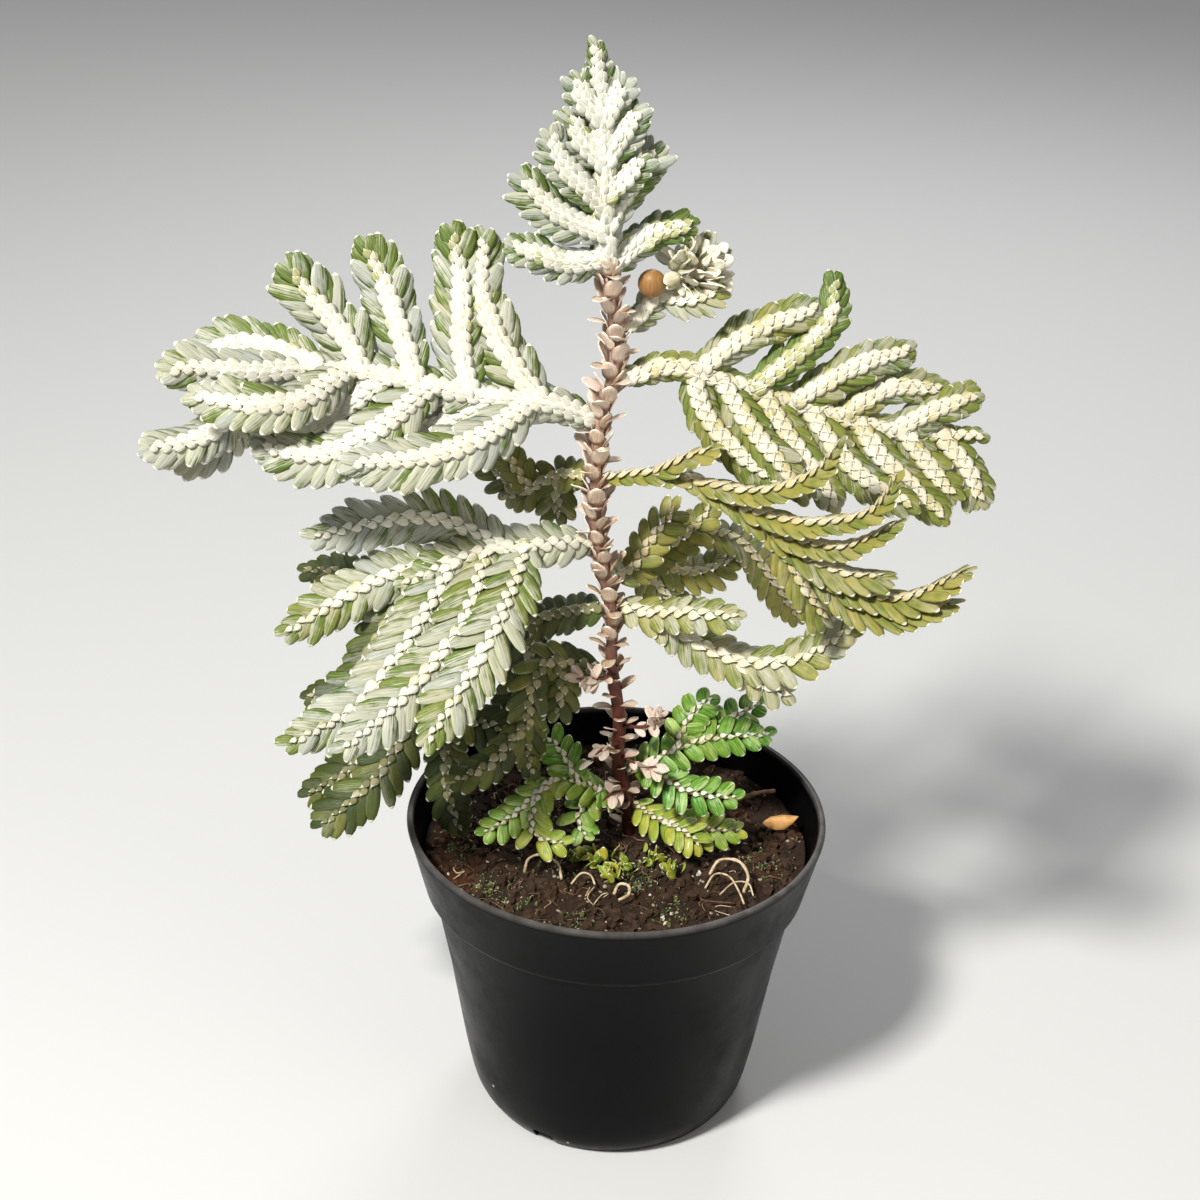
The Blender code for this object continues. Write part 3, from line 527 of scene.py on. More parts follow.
SPRAYS = {
    "apex_spray": (FACE_FRONT, [
        (8, [(-5, 0, 193), (-6, 0, 203), (-6, 0, 212), (-7, 0, 224), (-8, 0, 236)]),
        (8, [(-6, -1, 195), (-12, -3, 195), (-17, -5, 197), (-23, -6, 199)]),
        (10, [(-6, -1, 200), (-12, -2, 203), (-17, -3, 207), (-21, -3, 211)]),
        (8, [(-7, -1, 205), (-10, -2, 210), (-14, -3, 215), (-16, -3, 220)]),
        (8, [(-8, -1, 214), (-10, -1, 218), (-12, -1, 223)]),
        (7, [(-8, -1, 222), (-10, -1, 226), (-11, -1, 230)]),
        (8, [(-5, 1, 193), (-1, 3, 196), (5, 5, 199), (11, 6, 200)]),
        (9, [(-5, 1, 201), (-3, 2, 206), (1, 3, 212), (3, 3, 216)]),
        (7, [(-6, 1, 207), (-2, 0, 211), (1, 0, 215)]),
        (8, [(-6, 1, 214), (-3, 0, 219), (0, 0, 224)]),
        (7, [(-7, 1, 221), (-5, 0, 225), (-3, 0, 229)]),
    ]),
    "frond_upper_left": (FACE_FRONT, [
        (9, [
            (-8, -3, 162), (-16, -3, 166), (-29, -5, 168), (-44, -7, 172), (-57, -8, 174),
            (-70, -11, 174),
        ]),
        (12, [(-31, -5, 169), (-33, -2, 177), (-33, 2, 187), (-35, 6, 197)]),
        (12, [(-17, -3, 166), (-24, -1, 175), (-29, 2, 185), (-29, 7, 196)]),
        (12, [(-42, -6, 171), (-45, -3, 181), (-48, 0, 189), (-51, 2, 195)]),
        (12, [(-51, -8, 173), (-56, -5, 181), (-61, -4, 187), (-65, -3, 192)]),
        (11, [(-60, -6, 173), (-70, -5, 177), (-78, -5, 177), (-83, -5, 174)]),
        (11, [(-63, -12, 175), (-73, -16, 176), (-81, -19, 178), (-86, -21, 178)]),
        (11, [(-54, -12, 173), (-62, -19, 172), (-71, -24, 173), (-81, -23, 174)]),
        (10, [(-73, -12, 169), (-79, -15, 164), (-85, -18, 162), (-91, -21, 162)]),
        (9, [(-71, -9, 165), (-78, -12, 160), (-86, -16, 157)]),
        (12, [(-47, -8, 171), (-55, -11, 167), (-63, -14, 164), (-70, -16, 163)]),
        (12, [(-38, -9, 170), (-47, -16, 166), (-57, -21, 162), (-69, -22, 163)]),
        (11, [(-26, -5, 167), (-36, -8, 163), (-47, -12, 160), (-56, -16, 156)]),
        (12, [(-18, -7, 167), (-28, -13, 163), (-39, -19, 161), (-52, -23, 161)]),
    ]),
    "frond_upper_right": (FACE_FRONT, [
        (8, [
            (-1, 0, 170), (8, 3, 172), (20, 5, 168), (33, 7, 163), (43, 8, 160), (56, 10, 156),
            (72, 13, 155),
        ]),
        (10, [(13, 4, 171), (21, 8, 176), (29, 11, 179), (37, 14, 181)]),
        (9, [(24, 5, 168), (33, 9, 173), (39, 13, 179), (40, 17, 186)]),
        (10, [(33, 7, 165), (45, 11, 170), (56, 16, 172)]),
        (9, [(42, 8, 161), (52, 12, 165), (63, 15, 164)]),
        (9, [(53, 9, 158), (62, 12, 161), (70, 15, 163)]),
        (9, [(11, 4, 170), (15, 1, 163), (22, -2, 156), (31, -5, 151)]),
        (9, [(18, 3, 169), (24, 0, 161), (30, -4, 155), (35, -6, 149)]),
        (9, [(27, 5, 166), (32, 2, 158), (38, -2, 151), (42, -3, 146)]),
        (10, [(37, 6, 163), (41, 3, 156), (48, 0, 150), (57, -2, 146)]),
        (10, [(46, 8, 160), (51, 5, 153), (59, 3, 146), (64, 2, 142)]),
        (9, [(55, 9, 157), (61, 7, 150), (66, 5, 145)]),
        (9, [(63, 10, 156), (69, 9, 149), (72, 7, 143)]),
    ]),
    "frond_mid_right": ((-0.2, -0.1, 0.97), [
        (7, [
            (-1, -3, 149), (5, -4, 152), (12, -6, 152), (20, -9, 149), (28, -12, 144),
            (37, -15, 137),
        ]),
        (8, [(5, -4, 152), (11, -6, 156), (17, -7, 159)]),
        (8, [(14, -7, 152), (26, -11, 152), (36, -13, 157), (41, -14, 165)]),
        (8, [(22, -10, 148), (35, -14, 147), (47, -17, 151), (52, -18, 160)]),
        (8, [(29, -12, 144), (42, -16, 143), (53, -19, 150)]),
        (10, [(32, -13, 141), (42, -17, 138), (51, -19, 138)]),
        (10, [(37, -15, 137), (53, -20, 134), (66, -23, 142)]),
        (10, [(37, -15, 136), (49, -20, 131), (64, -23, 135)]),
        (9, [(29, -12, 142), (35, -15, 134), (40, -17, 127)]),
    ]),
    "frond_lower_left": (FACE_FRONT, [
        (9, [(-7, -3, 135), (-16, -5, 136), (-27, -8, 136), (-36, -12, 134), (-44, -15, 131)]),
        (11, [(-24, -4, 136), (-37, -5, 141), (-49, -7, 141), (-62, -11, 139)]),
        (11, [(-34, -9, 134), (-46, -12, 132), (-57, -15, 127), (-67, -18, 121)]),
        (10, [
            (-39, -12, 132), (-45, -14, 125), (-50, -17, 117), (-54, -19, 110), (-62, -22, 104),
        ]),
        (12, [(-33, -14, 136), (-40, -21, 126), (-50, -31, 114), (-64, -39, 108)]),
        (12, [(-26, -13, 137), (-31, -23, 128), (-41, -32, 117), (-53, -42, 109)]),
        (12, [(-18, -13, 139), (-24, -24, 129), (-30, -33, 120), (-37, -42, 111)]),
    ]),
    "frond_low_right": ((-0.1, -0.6, 0.8), [
        (10, [
            (0, -3, 120), (7, -4, 120), (14, -6, 116), (24, -9, 113), (36, -11, 115),
            (48, -11, 124),
        ]),
        (8, [(4, -5, 121), (14, -8, 123), (24, -11, 124)]),
        (8, [(23, -9, 113), (29, -11, 109), (35, -12, 107)]),
        (9, [(33, -5, 111), (41, -3, 115), (46, 0, 123)]),
    ]),
    "frond_back_right": ((0.0, -0.6, 0.8), [
        (9, [(-2, 5, 125), (5, 12, 125), (14, 18, 129), (19, 23, 134)]),
        (10, [(3, 12, 125), (14, 18, 119), (24, 25, 119)]),
        (10, [(2, 11, 123), (12, 13, 113), (21, 17, 108)]),
        (10, [(14, 20, 128), (24, 26, 123), (32, 30, 112), (39, 31, 101)]),
        (9, [(0, 9, 124), (6, 9, 132), (11, 9, 139)]),
    ]),
    "frond_back_left": ((0.0, -0.7, 0.7), [
        (9, [(-5, 5, 119), (-17, 10, 111), (-30, 12, 100), (-41, 10, 90), (-47, 8, 82)]),
        (11, [(-26, 12, 103), (-43, 18, 108), (-59, 22, 114), (-69, 23, 114)]),
        (11, [(-32, 12, 98), (-48, 17, 92), (-59, 20, 87), (-69, 20, 84)]),
        (12, [(-38, 10, 93), (-50, 8, 82), (-60, 6, 73), (-67, 4, 69)]),
        (12, [(-45, 6, 86), (-51, 1, 77), (-58, -3, 71), (-63, -5, 67)]),
        (9, [(-38, 8, 92), (-37, 3, 83), (-36, -2, 74), (-33, -6, 67)]),
        (10, [(-18, 10, 110), (-20, 8, 99), (-24, 5, 89), (-25, 2, 80)]),
        (10, [(-39, 9, 90), (-33, 2, 91), (-26, -3, 92), (-21, -5, 92)]),
    ]),
    "strap_hanging_left": ((0.1, -0.8, 0.55), [
        (9, [
            (-3, -2, 105), (-10, -2, 107), (-15, -3, 108), (-18, -7, 104), (-19, -8, 93),
            (-18, -9, 84),
        ]),
        (8, [(-13, -3, 108), (-12, -5, 103), (-13, -8, 98)]),
        (8, [(-19, -9, 96), (-26, -14, 90), (-34, -17, 87)]),
    ]),
    "basal_spray_left": ((0.0, -0.6, 0.8), [
        (9, [(0, -2, 74), (-4, -4, 78), (-9, -6, 81), (-14, -7, 82)]),
        (9, [(-13, -7, 82), (-17, -11, 79), (-17, -16, 74), (-10, -18, 73)]),
        (8, [(-4, -4, 78), (-8, -9, 74), (-6, -13, 71)]),
        (8, [(-14, -7, 82), (-21, -13, 77), (-28, -17, 74)]),
        (8, [(-8, -6, 81), (-13, -2, 87), (-18, 0, 90)]),
    ]),
    "basal_spray_right": ((0.0, -0.7, 0.7), [
        (9, [(3, -2, 79), (12, 0, 86), (21, 2, 88), (33, 4, 88)]),
        (9, [(5, -3, 81), (15, -7, 80), (26, -9, 80)]),
        (8, [(17, 3, 87), (24, 7, 90), (31, 11, 92)]),
        (8, [(12, 1, 86), (15, 4, 92), (20, 8, 95)]),
    ]),
    "basal_spray_front": ((0.0, -0.6, 0.8), [
        (9, [(4, -2, 71), (10, -5, 71), (19, -6, 70), (27, -6, 70)]),
        (8, [(10, -6, 72), (16, -9, 70), (18, -10, 68)]),
    ]),
    "twig_upper_back": (FACE_FRONT, [
        (8, [(-5, 4, 149), (-14, 7, 146), (-20, 8, 142), (-25, 10, 139)]),
        (8, [(-14, 7, 146), (-14, 6, 141), (-14, 5, 137)]),
        (8, [(-20, 9, 142), (-25, 13, 142), (-29, 15, 144)]),
        (7, [(-20, 8, 143), (-24, 8, 149), (-25, 7, 155)]),
    ]),
    "side_shoot": ((-0.1, -0.8, 0.6), [
        (7, [(-3, 2, 180), (2, 5, 182), (5, 8, 185), (11, 11, 187)]),
        (8, [(8, 10, 186), (13, 9, 191), (16, 9, 195)]),
        (8, [(5, 8, 185), (11, 6, 185), (17, 6, 187)]),
    ]),
}
print("sprays", len(SPRAYS), "strands", sum(len(strands) for _, strands in SPRAYS.values()))

# %% [markdown]
# The straps don't all look alike. Those in the sun carry a painted silver sheen, the ones
# that curl to the right are olive and cream, and the low sprays are fresh green. For each
# spray the table gives its painted silver sheen, how warm it is and its painted shade, and in
# millimetres the step from leaf to leaf, the width of a side leaf and the size of a braid
# scale. Last comes the angle in degrees at which its side leaves stand off the strap.

# %% The look of each spray
LOOK_PARTS = ("silver_sheen", "warm", "painted_shade", "step", "leaf", "scale", "lean")
LOOK_TABLE = {
    "apex_spray": (0.52, 0.05, 0.05, 2.0, 2.5, 3.3, 36),
    "frond_upper_left": (0.58, 0.16, 0.00, 2.4, 3.4, 3.1, 36),
    "frond_upper_right": (0.34, 0.46, 0.04, 2.4, 3.2, 2.8, 30),
    "frond_mid_right": (0.14, 0.90, 0.08, 2.6, 3.1, 2.2, 36),
    "frond_lower_left": (0.50, 0.26, 0.00, 3.1, 3.1, 2.4, 46),
    "frond_low_right": (0.56, 0.55, 0.00, 3.3, 3.3, 2.3, 50),
    "frond_back_right": (0.14, 0.75, 0.08, 3.0, 3.0, 1.9, 52),
    "frond_back_left": (0.04, 0.60, 0.92, 2.9, 3.1, 2.1, 46),
    "strap_hanging_left": (0.04, 0.70, 0.72, 2.8, 2.9, 1.9, 36),
    "basal_spray_left": (0.22, 0.25, 0.00, 2.8, 2.8, 1.3, 58),
    "basal_spray_right": (0.24, 0.14, 0.00, 3.1, 3.1, 1.3, 64),
    "basal_spray_front": (0.16, 0.55, 0.00, 2.5, 2.6, 1.2, 58),
    "twig_upper_back": (0.12, 0.70, 0.45, 2.8, 2.8, 1.9, 44),
    "side_shoot": (0.60, 0.40, 0.00, 1.9, 2.0, 2.3, 38),
}
LOOKS = {name: dict(zip(LOOK_PARTS, row)) for name, row in LOOK_TABLE.items()}

# Straps that differ from the rest of their spray in painted sheen, painted shade, warmth
# or tip, by their place in its list of straps
STRAP_LOOKS = {
    ("frond_upper_left", 0): dict(tip=0.90),
    ("frond_upper_left", 1): dict(silver_sheen=0.70, tip=0.30),
    ("frond_upper_left", 2): dict(tip=0.90),
    ("frond_upper_left", 3): dict(tip=0.70, silver_sheen=0.50),
    ("frond_upper_left", 4): dict(silver_sheen=0.45, warm=0.20),
    ("frond_upper_left", 5): dict(silver_sheen=0.90),
    ("frond_upper_left", 6): dict(silver_sheen=0.80),
    ("frond_upper_left", 7): dict(silver_sheen=0.95),
    ("frond_upper_left", 8): dict(silver_sheen=0.95),
    ("frond_upper_left", 11): dict(silver_sheen=0.70, warm=0.22),
    ("frond_upper_left", 12): dict(silver_sheen=0.72, warm=0.20),
    ("frond_upper_right", 0): dict(silver_sheen=0.40, tip=0.20),
    ("frond_upper_right", 1): dict(silver_sheen=0.10, warm=0.10, tip=0.50),
    ("frond_lower_left", 0): dict(silver_sheen=0.70, warm=0.08),
    ("frond_lower_left", 2): dict(silver_sheen=0.30, painted_shade=0.55),
    ("frond_back_left", 5): dict(silver_sheen=0.05, warm=0.50, painted_shade=1.00),
    ("frond_back_right", 2): dict(silver_sheen=0.20, painted_shade=0.15),
    ("basal_spray_left", 0): dict(warm=0.45, silver_sheen=0.20),
    ("basal_spray_left", 3): dict(warm=0.05),
    ("apex_spray", 5): dict(silver_sheen=0.25, tip=0.60),
}
print("looks for", len(LOOKS), "sprays and", len(STRAP_LOOKS), "single straps")

# %% [markdown]
# A strap is laid along a smooth curve through its route. At each step the curve gives the
# way along, the way to the side, and up, and all leaves are placed by these three.

# %% Curves and frames
FINE_PARTS = 12


def curve_through(points, count):
    """Evenly spaced points on a smooth curve through the given millimetre points."""
    knots = [Vector(point) * MM for point in points]
    knots = [2 * knots[0] - knots[1], *knots, 2 * knots[-1] - knots[-2]]
    fine = []
    for a, b, c, d in zip(knots, knots[1:], knots[2:], knots[3:]):
        for part in range(FINE_PARTS):
            t = part / FINE_PARTS
            bend = (2 * a - 5 * b + 4 * c - d) * t * t + (3 * b - a - 3 * c + d) * t**3
            fine.append(b + 0.5 * ((c - a) * t + bend))
    fine.append(knots[-2])
    lengths = [0.0]
    for before, after in zip(fine, fine[1:]):
        lengths.append(lengths[-1] + (after - before).length)
    spread = []
    for place in range(count + 1):
        wanted = lengths[-1] * place / count
        at = max(i for i in range(len(fine)) if lengths[i] <= wanted + 1e-12)
        at = min(at, len(fine) - 2)
        span = lengths[at + 1] - lengths[at]
        spread.append(fine[at].lerp(fine[at + 1], min(1.0, (wanted - lengths[at]) / span)))
    return spread


def route_length(points):
    """The length in metres of a route in millimetres."""
    knots = [Vector(point) * MM for point in points]
    return sum((b - a).length for a, b in zip(knots, knots[1:]))


def strap_frames(line, face):
    """For each point of the line: the point, the way along, to the side and up, as arrays."""
    face = Vector(face).normalized()
    found = []
    for i, point in enumerate(line):
        along = (line[min(i + 1, len(line) - 1)] - line[max(i - 1, 0)]).normalized()
        side = along.cross(face).normalized()
        found.append([np.array(v) for v in (point, along, side, side.cross(along))])
    return found


def leaf_reach(share, width):
    """Half the strap's width at a share of its length: short at the root, round at the tip."""
    root = min(1.0, 0.66 + share * 3.0)
    tip = min(1.0, 0.42 + (1.0 - share) * 2.4)
    return 0.5 * width * MM * min(root, tip)


longest = max(route_length(strands[0][1]) for _, strands in SPRAYS.values())
print("longest axis", round(longest / MM), "mm")

# %% [markdown]
# A piece of foliage is one mesh made of many copied leaves. This small class gathers the
# copies: each is placed by its root, its own three directions and its size, and brings its
# UVs and its leaf numbers along. At the end everything becomes one object.

# %% A gatherer of copied leaves
PLAIN_MARK = (0.5, 0.5, 0.5, 0.0)
TUBE_FACE = (0.13, -0.21, 0.97)


class Foliage:
    """Collects copies of modelled leaves and tubes, then makes one mesh of them."""

    def __init__(self, seed):
        self.points = []
        self.faces = []
        self.marks = []
        self.uvs = []
        self.slots = []
        self.smooth = []
        self.count = 0
        self.random = np.random.default_rng(seed)

    def add(self, shape, slot, root, along, up, length, width, mark, hand=1):
        """One copy of a unit leaf: root at this point, tip towards along, face towards up.

        With hand -1 the copy is a mirror image, so the same edge of every leaf is in front.
        """
        points, faces, smooth = shape
        along = along / np.linalg.norm(along)
        side = np.cross(up, along)
        side = side / np.linalg.norm(side)
        normal = np.cross(along, side)
        across = points[:, 1] * width * hand
        spread = np.outer(points[:, 0] * length, along) + np.outer(across, side)
        self.points.append(root + spread + np.outer(points[:, 2] * length, normal))
        self.faces.extend(tuple(self.count + corner for corner in face[::hand]) for face in faces)
        self.slots.extend([slot] * len(faces))
        self.smooth.extend(smooth)
        self.marks.append(np.tile(mark, (len(points), 1)))
        self.uvs.append(np.column_stack([points[:, 0], points[:, 1] + 0.5]))
        self.count += len(points)

    def add_tube(self, slot, line, radii, mark=PLAIN_MARK, sides=7):
        """A round stalk along a line, closed at both ends."""
        frames = strap_frames(line, TUBE_FACE)
        turns = np.arange(sides) / sides * math.tau
        for i, ((point, along, side, up), radius) in enumerate(zip(frames, radii)):
            ring = point + radius * (np.outer(np.cos(turns), side) + np.outer(np.sin(turns), up))
            self.points.append(ring)
            self.uvs.append(np.column_stack([np.full(sides, 0.5), turns / math.tau]))
            self.marks.append(np.tile(mark, (sides, 1)))
            if i:
                low = self.count - sides
                for k in range(sides):
                    after = (k + 1) % sides
                    corners = (low + k, self.count + k, self.count + after, low + after)
                    self.faces.append(corners)
                    self.slots.append(slot)
                    self.smooth.append(True)
            self.count += sides
        first = self.count - sides * len(line)
        self.faces.append(tuple(range(first, first + sides)))
        self.faces.append(tuple(reversed(range(self.count - sides, self.count))))
        self.slots.extend([slot, slot])
        self.smooth.extend([False, False])

    def make(self, name, finishes):
        """One object of all copies, moved to where the pot stands."""
        mesh = bpy.data.meshes.new(name)
        points = np.vstack(self.points)
        points[:, 0] += POT_PLACE
        mesh.from_pydata(points.tolist(), [], self.faces)
        for finish in finishes:
            mesh.materials.append(finish)
        mesh.polygons.foreach_set("material_index", self.slots)
        mesh.polygons.foreach_set("use_smooth", self.smooth)
        corners = np.empty(len(mesh.loops), np.int32)
        mesh.loops.foreach_get("vertex_index", corners)
        layer = mesh.uv_layers.new(name="UVMap")
        layer.uv.foreach_set("vector", np.vstack(self.uvs)[corners].astype(np.float32).ravel())
        mark = mesh.color_attributes.new("leaf", "FLOAT_COLOR", "POINT")
        mark.data.foreach_set("color", np.vstack(self.marks).astype(np.float32).ravel())
        mesh.validate()
        obj = bpy.data.objects.new(name, mesh)
        bpy.context.scene.collection.objects.link(obj)
        return obj


print("foliage gatherer ready")

# %% [markdown]
# Along a strap the side leaves sit in two rows, one on each hand, lapping like tiles with
# their front edge on top. Over them two rows of small round scales alternate like coins on
# a string, which gives the pale braid, made paler still with painted sheen. The leaves
# shrink at the root of a strap and at its rounded tip, and slow noise over the plant makes
# patches of painted silver sheen among the green.

# %% Lay the leaves along one strap
SIDE_SLOT, SCALE_SLOT, STALK_SLOT, BUD_SLOT = 0, 1, 2, 3
PATCH_SIZE = 11.0 * MM
LEAF_LIFT = 0.10 * MM
LEAF_OFFSET = 0.30 * MM
SCALE_LIFT = 0.62 * MM
POINTED_LEAN = 44
TIP_START, TIP_LENGTH = 0.70, 0.30
STALK_RADII = (0.60, 0.28)
JITTER = 0.05
LEAF_DROOP, LEAF_TILT, LEAF_ROLL = 0.12, 0.20, 0.06
SCALE_TURN, SCALE_RISE, SCALE_TILT, SCALE_ROLL = 0.16, 0.16, 0.18, 0.22
SCALE_OFFSET, SCALE_BACK = 0.17, 0.45
# Painted silver sheen: a little less towards a strap's tip, more on the braid scales
LEAF_FADE, BRAID_PAINTED_SHEEN = -0.06, 0.22


def tip_share(share):
    """How far a place lies into the tip of its strap, from 0 to 1."""
    return max(0.0, share - TIP_START) / TIP_LENGTH


def leaf_mark(random, look, place, share, extra):
    """The four numbers of a leaf: painted sheen, warm, own random number, painted shade.

    The extra is added to the painted sheen.
    """
    # Slow patches and chance set the painted sheen; near the tips of some straps it gives way to
    # painted shade.
    patch = noise.noise(Vector(place) / PATCH_SIZE)
    tip = look.get("tip", 0.0) * tip_share(share)
    silver_sheen = look["silver_sheen"] + 0.16 * random.normal() + 0.42 * patch + extra - 0.9 * tip
    warm = look["warm"] * (0.6 + 0.8 * random.random()) - 0.25 * patch
    painted_shade = look["painted_shade"] * (0.5 + random.random()) + 0.30 * tip
    return np.clip([silver_sheen, warm, random.random(), painted_shade], 0.0, 1.0)


def lay_strap(foliage, route, width, face, look):
    """Side leaves on both hands, the braid of scales on top, and the stalk under them."""
    random = foliage.random
    count = max(6, round(route_length(route) / (look["step"] * MM) * 2))
    frames = strap_frames(curve_through(route, count), face)
    lean = math.radians(look["lean"])
    scale = point_scale if look["lean"] >= POINTED_LEAN else round_scale
    for i in range(count):
        hand = 1 if i % 2 else -1
        point, along, side, up = frames[i]
        share = (i + 0.5) / count
        reach = leaf_reach(share, width)
        out = lean * (1.0 - 0.50 * tip_share(share)) + JITTER * random.normal()
        way = math.cos(out) * along + math.sin(out) * hand * side
        way = way - up * (LEAF_DROOP + JITTER * random.normal())
        tilt = up - LEAF_TILT * along + hand * side * LEAF_ROLL + 0.04 * random.normal() * side
        size = reach / math.sin(max(lean, 0.75)) * (1.0 + JITTER * random.normal())
        root = point + hand * side * LEAF_OFFSET + up * LEAF_LIFT
        broad = look["leaf"] * MM * (0.50 + 0.50 * min(1.0, reach / (0.42 * width * MM)))
        mark = leaf_mark(random, look, point, share, LEAF_FADE * share)
        foliage.add(side_leaf, SIDE_SLOT, root, way, tilt, size, broad, mark, hand)
    for i in range(count):
        hand = 1 if i % 2 else -1
        point, along, side, up = frames[i]
        share = (i + 0.5) / count
        size = look["scale"] * MM * (0.55 + 0.45 * min(1.0, (1.0 - share) * 2.5))
        size *= 1.0 + JITTER * random.normal()
        way = along + hand * side * (SCALE_TURN + JITTER * random.normal()) + up * SCALE_RISE
        tilt = up - SCALE_TILT * along + hand * side * (SCALE_ROLL + JITTER * random.normal())
        root = point + up * SCALE_LIFT
        root = root + side * hand * size * SCALE_OFFSET - along * size * SCALE_BACK
        mark = leaf_mark(random, look, point, share, BRAID_PAINTED_SHEEN)
        foliage.add(scale, SCALE_SLOT, root, way, tilt, size, size, mark, hand)
    tube = curve_through(route, max(6, count // 2))
    radii = np.linspace(*STALK_RADII, len(tube)) * MM
    foliage.add_tube(STALK_SLOT, tube, radii, (look["silver_sheen"], look["warm"], 0.5, look["painted_shade"]))


print("one strap of 30 mm and a step of 2.7 mm carries", round(30 / 2.7 * 2), "side leaves")

# %% [markdown]
# A spray is laid axis first, then its straps. As on the solids, an axis starts just off
# the stem, and a strap starts from the nearest point of what has grown already.

# %% Grow the sprays
STEM_RADIUS = 1.55 * MM
STALK_CLEARANCE = 0.75 * MM
TOP_SPRAY = "apex_spray"
FIRST_SEED = 100
# Places in millimetres of the side shoot's bud and of its curled head
SHOOT_BUD = (3.7, 5.0, 188.4)
SHOOT_HEAD = (11.8, 8.0, 190.5)
BUD_LENGTH, BUD_WIDTH = 5.6 * MM, 4.8 * MM
HEAD_LEAVES = 90
HEAD_RADII = (3.8, 2.2, 3.4)


def stem_point_near(height):
    """The point of the stem's middle line at this height in metres."""
    return min(stem_line, key=lambda point: abs(point.z - height))


def clear_of_stem(route):
    """The same route, its first point moved along it to stand just off the stem."""
    start = Vector(route[0]) * MM
    toward = (Vector(route[1]) * MM - start).normalized()
    level = Vector((toward.x, toward.y, 0.0)).normalized()
    moved = stem_point_near(start.z) + level * (STEM_RADIUS + STALK_CLEARANCE)
    return [tuple(v / MM for v in (moved.x, moved.y, start.z)), *route[1:]]


def rooted(route, lines):
    """The same route, started from the nearest point of what has grown already."""
    start = Vector(route[0]) * MM
    near = min((point for line in lines for point in line), key=lambda p: (p - start).length)
    return [tuple(near / MM), *route[1:]]


def grow_spray(name, seed):
    """The foliage of one spray, not yet made into an object."""
    foliage = Foliage(seed)
    face, ((width, route), *straps) = SPRAYS[name]
    if name != TOP_SPRAY:
        route = clear_of_stem(route)
    lay_strap(foliage, route, width, face, LOOKS[name])
    lines = [curve_through(route, 60)]
    for place, (width, route) in enumerate(straps):
        route = rooted(route, lines)
        lines.append(curve_through(route, 30))
        look = {**LOOKS[name], **STRAP_LOOKS.get((name, place), {})}
        lay_strap(foliage, route, width, face, look)
    return foliage


def add_side_shoot_head(foliage):
    """The brown bud and the curled cream leaves at the end of the side shoot."""
    random = foliage.random
    bud = np.array(SHOOT_BUD) * MM
    along, up = np.array((0.7, 0, 0.7)), np.array((-0.7, 0, 0.7))
    foliage.add(ball, BUD_SLOT, bud, along, up, BUD_LENGTH, BUD_WIDTH, PLAIN_MARK)
    for _ in range(HEAD_LEAVES):
        away = random.normal(size=3)
        away /= np.linalg.norm(away)
        root = np.array(SHOOT_HEAD) * MM + away * np.array(HEAD_RADII) * MM
        way = away * 0.5 + np.array((0.7, -0.2, 0.5)) * random.random()
        # Red is each leaf's painted silver sheen.
        mark = (0.45 + 0.5 * random.random(), 0.55 * random.random(), random.random(), 0.0)
        size = (3.0 + 2.4 * random.random()) * MM
        facing = away + 0.5 * random.normal(size=3)
        foliage.add(stem_leaf, SCALE_SLOT, root, way, facing, size, size * 0.62, mark)


stem_line = curve_through(STEM_ROUTE, 120)
for seed, name in enumerate(SPRAYS):
    foliage = grow_spray(name, FIRST_SEED + seed)
    if name == "side_shoot":
        add_side_shoot_head(foliage)
    leaf_finish = fresh_leaf_finish if name.startswith("basal") else side_leaf_finish
    finishes = [leaf_finish, scale_finish, stalk_finish]
    if name == "side_shoot":
        finishes.append(bud_finish)
    piece = foliage.make(name + "_leaves", finishes)
    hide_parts(name)
    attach(piece, "root")
    print(piece.name, "faces", len(piece.data.polygons))

# %% [markdown]
# The main stem is a wiry tube in a sleeve of spoon-shaped leaves, each a golden turn from
# the last. High up they are cream and pink and lie close to the stem with some standing
# out; lower down they are small, and the bark shows red-brown between them.

# %% Grow the main stem
STEM_FOOT = 52.0 * MM
LOWEST_STEM_LEAF = 65.0 * MM
HIGHEST_STEM_LEAF = 193.0 * MM
SLEEVE_START = 112.0 * MM
GOLDEN_TURN = math.radians(137.5)
HIGH_STEP, LOW_STEP = 1.75 * MM, 1.05 * MM
# Routes of the stem's short side twigs, each with its radius and its number of leaves
STEM_TWIGS = (
    ([(-1, -1, 104), (-5, -4, 105), (-9, -6, 106)], 0.55, 16),
    ([(1, -1, 92), (6, -4, 94), (9, -6, 98)], 0.45, 15),
    ([(1, 0, 84), (5, -4, 84), (8, -7, 86)], 0.40, 10),
    ([(0, -1, 88), (-4, -5, 88), (-6, -7, 86)], 0.40, 9),
    ([(2, 0, 76), (-2, -5, 77), (-4, -7, 75)], 0.40, 8),
)

stem = Foliage(7)
line = [Vector((stem_line[0].x, stem_line[0].y, STEM_FOOT)), *curve_through(STEM_ROUTE, 44)]
radii = np.linspace(1.5, 1.05, len(line)) * MM
radii = radii * (1.0 + 0.05 * stem.random.normal(size=len(line)))
stem.add_tube(1, line, radii, sides=12)


